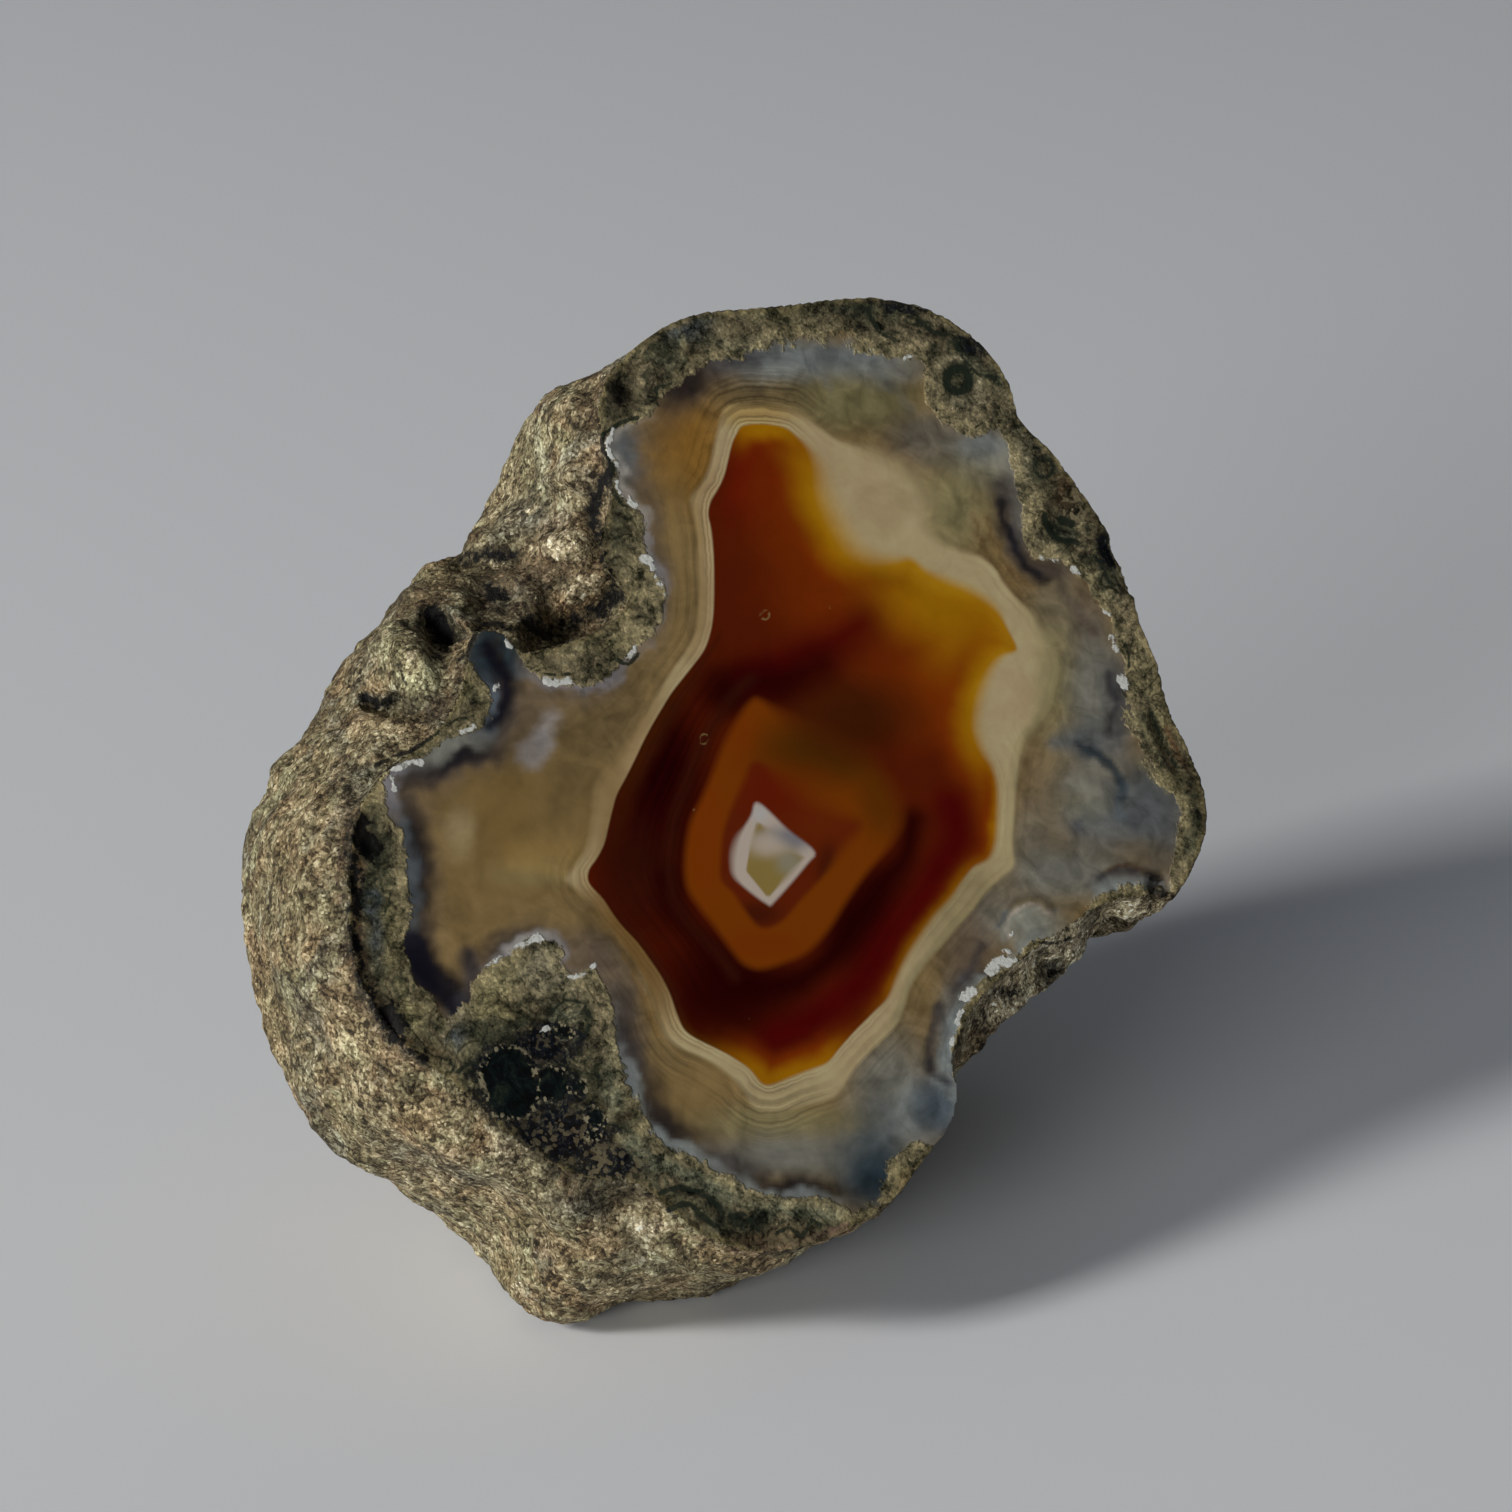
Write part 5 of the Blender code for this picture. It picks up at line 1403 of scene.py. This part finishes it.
def roughen_rind(mesh):
    """Works lumps, grains, pits and grooves into the rind and small vugs into the face."""
    points = points_of(mesh)
    depth = -(points - np.array(FACE_POINT)) @ np.array(FACE_NORMAL)
    drawn = drawn_places(points)
    rough = smooth_step(depth, ROUGH_START, RIM_REACH)
    moved = np.zeros(len(points))
    for i in np.flatnonzero(rough > 0):
        moved[i] = rough[i] * rind_height(Vector(points[i]))
    in_front = facing(mesh) & (depth > ROUGH_START) & (depth < GROOVES_END)
    for deep, width, line in GROOVES:
        share = stroke_share(drawn, width, width, line) * in_front
        moved -= deep * share * smooth_step(depth, 0.0, GROOVES_FULL)
    for deep, width, line in VUGS:
        share = stroke_share(drawn, width, VUG_SOFTNESS * width, line)
        moved -= deep * share * (depth < RIM_REACH)
    points += normals_of(mesh) * moved[:, None]
    points[:, 2] = np.maximum(points[:, 2], 0.0)
    mesh.vertices.foreach_set("co", points.ravel())
    mesh.update()


def paint_rim(mesh):
    """Keeps how far each point is from the rim of the cut, in squares."""
    kinds = {}
    for polygon in mesh.polygons:
        for i in polygon.vertices:
            kinds.setdefault(i, set()).add(polygon.material_index == RIND_SLOT)
    rim = [i for i, seen in kinds.items() if len(seen) == 2]
    tree = KDTree(len(rim))
    for i in rim:
        tree.insert(mesh.vertices[i].co, i)
    tree.balance()
    store(mesh, "rim", [
        min(tree.find(vertex.co)[2] / SQUARE, FAR) for vertex in mesh.vertices
    ])


def paint_zones(mesh, points, drawn):
    """Keeps each zone's edge, depth and colours, and gives back the depths."""
    depths = []
    flow_size, flow_reach, flow_noise = ZONE_WANDER
    fray_size, fray_noise = STROKE_FRAY
    for name, zone in ZONES.items():
        flowing = drawn + wandering(points, flow_size, flow_reach, flow_noise + len(depths))
        flowing += wandering(points, fray_size, zone.raggedness, fray_noise)
        line = curve(zone.outline, closed=True, steps=CURVE_STEPS if zone.curved else 1)
        depth = distance(drawn, line)
        depth[~inside(drawn, line)] *= -1
        depths.append(depth)
        soft = np.full(len(drawn), zone.softness)
        for wanted, middle, half in zone.soft_stretches:
            soft += (wanted - soft) * patch_share(drawn, middle, half)
        store(mesh, name + "_edge", np.clip(depth / soft, -FAR, FAR))
        if name not in GLASSY_ZONES:
            store(mesh, name + "_depth", np.clip(depth, -FAR, FAR))
        worn = depth
        for size, times, which in FRINGE_FRAYS:
            worn = worn + wandering(points, size, times * zone.raggedness, which)[:, 0]
        store(mesh, name + "_colour", painted(
            flowing, zone.ground, zone.patches, zone.strokes, fringes=zone.fringes, depth=worn
        ))
    return depths


def rings_of(depths):
    """A number that rises by one from each zone's edge to the next one inside it."""
    rings = np.clip(depths[0] / RINGS_OUTSIDE, -1.0, 0.0)
    for k, (outer, inner) in enumerate(zip(depths[:-1], depths[1:])):
        between = np.abs(outer) / np.maximum(np.abs(outer) + np.abs(inner), TOUCHING)
        rings = np.where(outer > 0, k + np.where(inner > 0, 1.0, between), rings)
    return rings


def paint_face(mesh):
    """Keeps the face's colours, the bands' strength and the small marks. Marks that reach the
    rind are kept only where the drawing sees it."""
    points = points_of(mesh)
    drawn = drawn_places(points)
    ragged = drawn + wandering(points, *MATRIX_WANDER)
    store(mesh, "matrix_colour", painted(ragged, "dark olive", MATRIX_PATCHES, MATRIX_STROKES))
    store(mesh, "rings", rings_of(paint_zones(mesh, points, drawn)))
    for name, patches in (
        ("core_lines", CORE_LINES), ("cream_lines", CREAM_LINES), ("core_stripes", CORE_STRIPES),
        ("dark_mass", DARK_MASS), ("still", STILL),
    ):
        store(mesh, name, share_of(drawn, patches))
    for name, lines in (("chalk", CHALK), ("blobs", BLOBS), ("specks", SPECKS)):
        store(mesh, name, marks(drawn, lines))
    seen = facing(mesh)
    store(mesh, "crystals", share_of(drawn, CRYSTALS) * seen)
    for name, lines in (("dark_cracks_and_shade", DARK_CRACKS_AND_SHADE), ("crumbs_and_painted_light", CRUMBS_AND_PAINTED_LIGHT), ("veins_and_hole_shade", VEINS_AND_HOLE_SHADE)):
        store(mesh, name, np.where(seen, marks(drawn, lines), UNMARKED))


def paint_rind(mesh):
    """Keeps the rind's broad colours on the points, and a plain one where it is hidden."""
    points = points_of(mesh)
    ragged = drawn_places(points) + wandering(points, *RIND_WANDER)
    seen = painted(ragged, "tan", RIND_PATCHES, RIND_STROKES, RIND_LIGHT)
    plain = (*shade("tan", RIND_LIGHT), 1.0)
    store(mesh, "rind_colour", np.where(facing(mesh)[:, None], seen, plain))


class Finish:
    """A material whose nodes are added and joined in short calls."""

    def __init__(self, name):
        self.material = bpy.data.materials.new(name)
        self.material.use_nodes = True
        self.tree = self.material.node_tree
        self.shader = self.tree.nodes["Principled BSDF"]
        self.place = self.add("ShaderNodeTexCoord").outputs["Object"]

    def add(self, kind, **settings):
        """A new node with these settings."""
        node = self.tree.nodes.new(kind)
        for name, value in settings.items():
            setattr(node, name, value)
        return node

    def join(self, socket, value):
        """Gives a socket a value, or another node's output."""
        if isinstance(value, bpy.types.NodeSocket):
            self.tree.links.new(value, socket)
        elif isinstance(value, np.ndarray):
            socket.default_value = (*value, 1.0)
        else:
            socket.default_value = value

    def kept(self, name, part="Fac"):
        """What the mesh's points keep under a name: a number, or a colour's Color or Alpha."""
        return self.add("ShaderNodeAttribute", attribute_name=name).outputs[part]

    def worked(self, operation, *values):
        """The result of an operation on numbers."""
        node = self.add("ShaderNodeMath", operation=operation)
        for socket, value in zip(node.inputs, values):
            self.join(socket, value)
        return node.outputs[0]

    def times(self, value, other):
        """One number times another."""
        return self.worked("MULTIPLY", value, other)

    def total(self, start, *parts):
        """A start value plus each value times its weight."""
        for value, weight in parts:
            start = self.worked("MULTIPLY_ADD", value, weight, start)
        return start

    def step(self, value, low, high, start=0.0, end=1.0):
        """start below low, end above high, and an even change between them."""
        node = self.add("ShaderNodeMapRange", interpolation_type="SMOOTHSTEP")
        for socket, given in zip(node.inputs, (value, low, high, start, end)):
            self.join(socket, given)
        return node.outputs["Result"]

    def mix(self, share, low, high, blend="MIX"):
        """One colour laid over another."""
        node = self.add("ShaderNodeMix", data_type="RGBA", blend_type=blend, clamp_result=True)
        self.join(node.inputs["Factor"], share)
        self.join(node.inputs[MIX_LOW], low)
        self.join(node.inputs[MIX_HIGH], high)
        return node.outputs[MIX_RESULT]

    def laid(self, colour, over, share, strength):
        """A colour with another laid over a share of it, at most this strongly."""
        return self.mix(self.times(share, strength), colour, over)

    def texture(self, kind, size, place, socket="Vector", **settings):
        """A texture node whose pattern is this wide, in the units of the place."""
        node = self.add(kind, **settings)
        self.join(node.inputs[socket], place)
        node.inputs["Scale"].default_value = 1 / size
        return node

    def noise(self, size, detail=2.0, roughness=0.5, distortion=0.0):
        """Noise whose lumps are this many metres across."""
        node = self.texture("ShaderNodeTexNoise", size, self.place)
        node.inputs["Detail"].default_value = detail
        node.inputs["Roughness"].default_value = roughness
        node.inputs["Distortion"].default_value = distortion
        return node.outputs["Fac"]

    def frayed(self, name, start, fray, size, detail=2.0, roughness=0.5):
        """A number that the points keep, plus a start, its border frayed by noise."""
        return self.total(
            start, (self.kept(name), 1.0), (self.noise(size, detail, roughness), fray)
        )

    def stirred(self, size, reach):
        """The place shifted by noise of this size, by up to about this reach in metres."""
        shift = self.texture("ShaderNodeTexNoise", size, self.place)
        middle = self.add("ShaderNodeVectorMath", operation="SUBTRACT")
        self.join(middle.inputs[0], shift.outputs["Color"])
        middle.inputs[1].default_value = (0.5, 0.5, 0.5)
        moved = self.add("ShaderNodeVectorMath", operation="MULTIPLY_ADD")
        self.join(moved.inputs[0], middle.outputs[0])
        moved.inputs[1].default_value = (2 * reach, 2 * reach, 2 * reach)
        self.join(moved.inputs[2], self.place)
        return moved.outputs[0]

    def outlines(self, size, place):
        """How near a place is to the border of an irregular grain: 1 on it, 0 inside."""
        node = self.texture("ShaderNodeTexVoronoi", size, place, feature="DISTANCE_TO_EDGE")
        return self.step(node.outputs["Distance"], 0.13, 0.02)

    def grains(self, size, place):
        """Irregular grains this many metres across: two random values for each, and the
        distance from its middle."""
        node = self.texture("ShaderNodeTexVoronoi", size, place)
        parts = self.add("ShaderNodeSeparateColor")
        self.join(parts.inputs[0], node.outputs["Color"])
        return parts.outputs[0], parts.outputs[1], node.outputs["Distance"]

    def stripes(self, depth, width):
        """Uneven fine stripes along a depth, this wide in its units."""
        node = self.texture("ShaderNodeTexNoise", width, depth, "W", noise_dimensions="1D")
        node.inputs["Detail"].default_value = 1.0
        return node.outputs["Fac"]

    def ramp(self, value, stops):
        """Colours or greys by value. A stop is where it is and what it is."""
        node = self.add("ShaderNodeValToRGB")
        band = node.color_ramp
        while len(band.elements) < len(stops):
            band.elements.new(0.5)
        for element, (at, what) in zip(band.elements, stops):
            element.position = at
            element.color = (*what, 1.0) if np.ndim(what) else (what, what, what, 1.0)
        self.join(node.inputs["Fac"], value)
        return node.outputs["Color"]

    def toned(self, colour, value, stops, strength=1.0):
        """A colour made darker or lighter by a value: 0.5 leaves it, 0.25 halves it."""
        return self.mix(strength, colour, self.ramp(value, stops), "OVERLAY")

    def coated(self, colour, roughness, shine):
        """Gives the shader its colour, roughness and how strongly it mirrors."""
        for name, value in (
            ("Base Color", colour), ("Roughness", roughness), ("Specular IOR Level", shine),
        ):
            self.join(self.shader.inputs[name], value)

    def embossed(self, height, size, strength):
        """Gives the shader small relief that is this high in metres."""
        node = self.add("ShaderNodeBump")
        node.inputs["Strength"].default_value = strength
        node.inputs["Distance"].default_value = size
        self.join(node.inputs["Height"], height)
        self.join(self.shader.inputs["Normal"], node.outputs["Normal"])


def speckled(finish, colour, size, weights, tones, spots):
    """A colour broken up into dark chinks, ragged grains and pale flecks, and its height. The
    weights are those of the patches, the grains, the small grains and the dust. Spots tells
    how strong the chinks, outlines and flecks are."""
    place = finish.stirred(1.2 * size, 0.45 * size)
    tone, kind, apart = finish.grains(size, place)
    small = 0.42 * size
    small_tone, small_kind, _ = finish.grains(small, finish.stirred(1.2 * small, 0.45 * small))
    patchy = finish.noise(4.4 * size, 5.0, 0.72, 0.4)
    fine = finish.noise(0.45 * size, 2.0, 0.6)
    level = finish.total(
        0.47 - sum(weights) / 2, *zip((patchy, tone, small_tone, fine), weights)
    )
    chinks = finish.times(finish.step(kind, 0.14, 0.06), finish.step(patchy, 0.54, 0.42))
    flecks = finish.times(finish.step(small_kind, 0.76, 0.86), finish.step(patchy, 0.40, 0.60))
    level = finish.total(
        level, (chinks, -0.26 * spots), (finish.outlines(size, place), -0.17 * spots),
        (flecks, 0.50 * spots),
    )
    colour = finish.mix(1.0, colour, finish.ramp(level, tones), "MULTIPLY")
    height = finish.total(0.0, (patchy, 2.0), (apart, -0.5), (small_tone, 0.3), (fine, 0.5))
    return colour, height


def stained(finish, colour, ground, stains, noise_kind, on_patches, light):
    """A colour with broad soft stains, which show fully on the ground and only by the share
    on_patches where patches are drawn. noise_kind is the noise's detail, roughness and
    distortion."""
    for name, size, low, high, strength in stains:
        stain = finish.step(finish.noise(size, *noise_kind), low, high)
        share = finish.total(on_patches * strength, (ground, (1 - on_patches) * strength))
        colour = finish.mix(finish.times(stain, share), colour, shade(name, light))
    return colour


def orbs(finish, colour, bare):
    """A colour with grown round spots: a dark middle, pale and dark rings round it."""
    _, kind, apart = finish.grains(0.0027, finish.stirred(0.0024, 0.0011))
    apart = finish.total(-0.10, (apart, 1.0), (finish.noise(0.0006, 3.0), 0.20))
    ringed = finish.ramp(apart, tuple((at, shade(name)) for at, name in ORB_RINGS))
    share = finish.times(finish.step(kind, 0.46, 0.58), finish.step(apart, 0.56, 0.46))
    return finish.laid(colour, ringed, share, bare)


def shells(finish, colour):
    """A colour with thin wavy lines that lie side by side like the edges of shells."""
    waves = finish.times(finish.noise(0.0040, 1.0, 0.5, 0.8), 15.0)
    waves = finish.worked("PINGPONG", waves, 1.0)
    return finish.toned(
        colour, waves, SHELL_TONES, finish.step(finish.noise(0.0062), 0.46, 0.56)
    )


def strewn(finish, colour, light):
    """A colour with pale crystals where they are strewn, and peat-dark and black along the crack
    marks: the crack's own dark on the left, and painted shade in the holes, crevices and folds.
    """
    _, kind, apart = finish.grains(0.00042, finish.stirred(0.0005, 0.00018))
    crystals = finish.times(
        finish.step(finish.total(0.0, (kind, 1.0), (apart, -0.4)), 0.42, 0.54),
        finish.kept("crystals"),
    )
    colour = finish.laid(colour, shade("hay", light), crystals, 0.75)
    # Peat-dark and black along the marks: painted shade in the holes, crevices and folds, and the
    # crack's own dark on the left
    depth = finish.frayed("dark_cracks_and_shade", -2.1, 4.2, 0.0008, 4.0, 0.7)
    colour = finish.laid(colour, shade("peat", light), finish.step(depth, -0.7, 0.1), 0.7)
    return finish.laid(colour, shade("black", light), finish.step(depth, 0.0, 0.3), 0.95)


def massed(finish, colour):
    """A colour with the black granular mass."""
    mass = finish.step(finish.frayed("dark_mass", -0.75, 1.5, 0.0009, 4.0, 0.7), 0.30, 0.55)
    return finish.laid(colour, finish.ramp(finish.noise(0.0005, 3.0, 0.7), (
        (0.40, shade("black")), (0.56, shade("night blue")), (0.68, shade("dark olive")),
    )), mass, 0.88)


def blotted(finish, colour):
    """A colour with the dark round spots and their dotted pale outlines."""
    blobs = finish.frayed("blobs", -0.50, 1.1, 0.0012, 3.0, 0.6)
    _, kind, _ = finish.grains(0.00026, finish.stirred(0.0003, 0.00012))
    dotted = finish.times(
        finish.step(finish.worked("ABSOLUTE", blobs), 0.42, 0.12), finish.step(kind, 0.66, 0.78)
    )
    mottled = finish.ramp(finish.noise(0.0013, 4.0, 0.7, 0.8), (
        (0.42, shade("black")), (0.54, shade("deep green")), (0.66, shade("pine")),
        (0.78, shade("moss")),
    ))
    colour = finish.laid(colour, mottled, finish.step(blobs, -0.1, 0.25), 0.96)
    return finish.laid(colour, shade("sand"), dotted, 0.8)


def matrix_look(finish):
    """The grainy matrix round the chalcedony, paler where they meet, and its height."""
    colour = finish.kept("matrix_colour", "Color")
    ground = finish.kept("matrix_colour", "Alpha")
    colour = stained(finish, colour, ground, MATRIX_STAINS, (3.0, 0.6, 1.0), 0.18, FACE_LIGHT)
    colour = orbs(finish, colour, finish.total(0.30, (ground, 0.50)))
    colour = shells(finish, colour)
    crust = finish.step(finish.frayed("chalcedony_depth", -0.6, 3.4, 0.0011, 4.0), -0.9, 0.9)
    colour = finish.laid(colour, shade("tan"), crust, 0.60)
    worn = finish.step(finish.frayed("rim", -0.9, 1.8, 0.0012, 4.0, 0.65), 0.9, -0.1)
    colour = finish.laid(colour, shade("loam"), worn, 0.7)
    colour, height = speckled(finish, colour, MATRIX_GRAIN, MATRIX_WEIGHTS, MATRIX_TONES, 0.5)
    colour = massed(finish, colour)
    colour = strewn(finish, colour, FACE_LIGHT)
    return blotted(finish, colour), height


def banded(finish, colour, waver):
    """A colour with the bands that follow the core's edge and the cream's outer edge."""
    def lined(colour, depth, bands, strength):
        """A colour toned by a list of bands, which is in squares of depth."""
        return finish.toned(colour, finish.worked("DIVIDE", depth, BANDS_REACH), tuple(
            (at / BANDS_REACH, tone) for at, tone in bands
        ), strength)

    outside = finish.worked("MULTIPLY_ADD", finish.kept("core_depth"), -1.0, waver)
    strength = finish.kept("core_lines")
    colour = lined(colour, outside, CORE_BANDS, strength)
    colour = finish.toned(
        colour, finish.stripes(outside, 0.30), ((0.32, 0.40), (0.68, 0.60)), strength
    )
    within = finish.worked("ADD", finish.kept("cream_depth"), waver)
    within = finish.worked("ADD", within, BANDS_START)
    return lined(colour, within, CREAM_BANDS, finish.kept("cream_lines"))


def zone_look(finish, name, waver, wisps, cloud):
    """A zone's colour with its veils, bands, stripes and clouds."""
    colour = finish.kept(name + "_colour", "Color")
    if name == "chalcedony":
        unquiet = finish.worked("SUBTRACT", 1.0, finish.kept("still"))
        veils = finish.noise(0.0022, 3.0, 0.5, 0.8)
        colour = finish.toned(colour, wisps, ((0.25, 0.46), (0.75, 0.54)), unquiet)
        colour = finish.toned(colour, veils, ((0.30, 0.34), (0.70, 0.66)), unquiet)
        stripes = finish.stripes(finish.kept("rings"), 0.13)
        colour = finish.toned(colour, stripes, ((0.3, 0.46), (0.7, 0.54)))
    if name in ("chalcedony", "cream"):
        colour = banded(finish, colour, waver)
        colour = finish.toned(colour, cloud, ((0.28, 0.41), (0.72, 0.59)))
    if name == "core":
        strength = finish.kept("core_stripes")
        stripes = finish.stripes(finish.kept("rings"), 0.07)
        colour = finish.toned(colour, stripes, ((0.3, 0.40), (0.7, 0.60)), strength)
        colour = finish.toned(colour, cloud, ((0.3, 0.45), (0.7, 0.55)))
    return colour


def polished_finish(name, clear):
    """The polished face: banded chalcedony, a glassy core and its diamond, and where it isn't
    all clear the grainy matrix too."""
    finish = Finish(name)
    ragged = finish.total(-0.5, (finish.noise(0.0006, 3.0, 0.6), 1.0))
    waver = finish.total(-0.45, (finish.noise(0.0030, 3.0, 0.6), 0.9))
    waver = finish.total(waver, (ragged, 0.22))
    wisps = finish.noise(0.0007, 4.0, 0.7, 0.7)
    cloud = finish.noise(0.0042, 5.0, 0.62, 0.5)
    colour = zone_look(finish, "chalcedony", waver, wisps, cloud)
    if not clear:
        matrix, height = matrix_look(finish)
        edge = finish.total(
            -5.5, (finish.kept("chalcedony_edge"), 1.0), (ragged, 7.0),
            (finish.noise(0.0019, 3.0, 0.6), 11.0),
        )
        share = finish.step(edge, -1.0, 1.0)
        colour = finish.mix(share, matrix, colour)
    for zone in ("cream", "core") + (GLASSY_ZONES if clear else ()):
        look = zone_look(finish, zone, waver, wisps, cloud)
        edge = finish.step(finish.kept(zone + "_edge"), -1.0, 1.0)
        colour = finish.mix(edge, colour, look)
    if clear:
        specks = finish.step(finish.kept("specks"), -0.04, 0.12)
        colour = finish.laid(colour, shade("toffee"), specks, 0.7)
    else:
        veins_and_hole_shade = finish.total(0.06, (finish.kept("veins_and_hole_shade"), 1.0), (ragged, 0.5))
        colour = finish.laid(colour, shade("pine"), finish.step(veins_and_hole_shade, 0.0, 0.14), 0.9)
        chalk = finish.total(0.08, (finish.kept("chalk"), 1.0), (ragged, 1.2))
        chalk = finish.step(chalk, -0.02, 0.16)
        white = finish.ramp(wisps, ((0.32, shade("ash")), (0.46, shade("chalk"))))
        colour = finish.mix(chalk, colour, white)
    finish.coated(colour, POLISH_ROUGHNESS, POLISH_SHINE)
    if not clear:
        stony = finish.worked("MAXIMUM", finish.worked("SUBTRACT", 1.0, share), chalk)
        roughness = finish.step(stony, 0.0, 1.0, POLISH_ROUGHNESS, MATRIX_ROUGHNESS)
        finish.join(finish.shader.inputs["Roughness"], roughness)
        finish.embossed(finish.times(height, stony), MATRIX_RELIEF, 0.6)
    return finish.material


def rind_finish():
    """The rough rind: tan, brown and grey-green grains, pale flecks, dark chinks and holes; the
    black in the holes is painted shade, and the pale lumps on the bite and the ledge are partly
    painted light.
    """
    finish = Finish("agate rind")
    colour = finish.kept("rind_colour", "Color")
    ground = finish.kept("rind_colour", "Alpha")
    colour = stained(finish, colour, ground, RIND_STAINS, (4.0, 0.62, 0.6), 0.35, RIND_LIGHT)
    near = finish.step(finish.frayed("rim", -1.6, 3.2, 0.0014, 4.0, 0.65), 1.4, -0.4)
    matrix = finish.mix(
        1.0, finish.kept("matrix_colour", "Color"), np.full(3, FACE_LIGHT / RIND_LIGHT), "MULTIPLY"
    )
    colour = finish.laid(colour, matrix, near, finish.total(0.25, (ground, 0.50)))
    # Pale lumps: partly their own white, partly painted light on the bite's lumps and on the ledge
    crumbs_and_painted_light = finish.step(finish.frayed("crumbs_and_painted_light", -1.5, 3.0, 0.0009, 4.0, 0.7), 0.0, 0.40)
    colour = finish.laid(colour, finish.ramp(finish.noise(0.0008, 4.0, 0.7), (
        (0.34, shade("bark", RIND_LIGHT)), (0.42, shade("fawn", RIND_LIGHT)),
        (0.52, shade("ivory", RIND_LIGHT)),
    )), crumbs_and_painted_light, 0.9)
    colour, height = speckled(finish, colour, RIND_GRAIN, RIND_WEIGHTS, RIND_TONES, 1.0)
    colour = strewn(finish, colour, RIND_LIGHT)
    # Black along the vein lines and in the holes; in the holes it is painted shade
    holes = finish.worked(
        "MULTIPLY_ADD", finish.noise(0.0007, 3.0), 0.6, finish.kept("veins_and_hole_shade")
    )
    colour = finish.laid(colour, shade("black", RIND_LIGHT), finish.step(holes, 0.22, 0.36), 0.9)
    finish.coated(colour, RIND_ROUGHNESS, RIND_SHINE)
    finish.embossed(height, RIND_RELIEF, 0.9)
    return finish.material


def agate_stone():
    """The whole stone as one piece: polished in front, rind behind."""
    piece = fine_mesh()
    mesh = piece.data
    heights = points_of(mesh)[:, 2]
    mesh.materials.clear()
    mesh.materials.append(polished_finish("clear agate", True))
    mesh.materials.append(polished_finish("agate and matrix", False))
    mesh.materials.append(rind_finish())
    mesh.transform(face_frame().inverted())
    line = curve(CHALCEDONY, closed=True)
    drawn = drawn_places(points_of(mesh))
    clear = inside(drawn, line) & (distance(drawn, line) > CLEAR_DEPTH)
    for polygon in mesh.polygons:
        if min(heights[i] for i in polygon.vertices) < -FLAT:
            polygon.material_index = RIND_SLOT
        elif all(clear[i] for i in polygon.vertices):
            polygon.material_index = CLEAR_SLOT
        else:
            polygon.material_index = MIXED_SLOT
    roughen_rind(mesh)
    paint_rim(mesh)
    paint_face(mesh)
    paint_rind(mesh)
    mesh.shade_smooth()
    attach(piece, "root")
    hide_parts("agate")
    return piece


def pale_floor():
    """A plain pale floor under the stone."""
    bpy.ops.mesh.primitive_plane_add(size=FLOOR_SIDE)
    floor = bpy.context.object
    floor.name = "floor"
    finish = Finish("pale floor")
    finish.shader.inputs["Base Color"].default_value = FLOOR_COLOUR
    finish.shader.inputs["Roughness"].default_value = FLOOR_ROUGHNESS
    floor.data.materials.append(finish.material)


def soft_light(name, place, size, power, colour):
    """A square soft light at a place, aimed at the stone."""
    lamp = bpy.data.lights.new(name, "AREA")
    lamp.size = size
    lamp.energy = power
    lamp.color = colour
    light = bpy.data.objects.new(name, lamp)
    light.location = place
    light.rotation_euler = (-Vector(place)).to_track_quat("-Z", "Y").to_euler()
    bpy.context.scene.collection.objects.link(light)


def studio():
    """A key light from the left, a low fill in front, a dim even surround and the camera."""
    for light in LIGHTS:
        soft_light(*light)
    world = bpy.data.worlds.new("studio")
    world.use_nodes = True
    surround = world.node_tree.nodes["Background"]
    surround.inputs["Color"].default_value = SURROUND_COLOUR
    surround.inputs["Strength"].default_value = SURROUND_STRENGTH
    bpy.context.scene.world = world
    camera = bpy.data.objects.new("camera", bpy.data.cameras.new("camera"))
    camera.location = EYE
    camera.rotation_euler = (pi / 2 - SIGHT_FALL, 0.0, 0.0)
    camera.data.lens = camera.data.sensor_width * SIGHT_DISTANCE / (PICTURE_SQUARES * SQUARE)
    camera.data.clip_start = NEAREST_SEEN
    bpy.context.scene.collection.objects.link(camera)
    bpy.context.scene.camera = camera
    bpy.context.scene.view_settings.view_transform = "Standard"


agate_stone()
pale_floor()
studio()
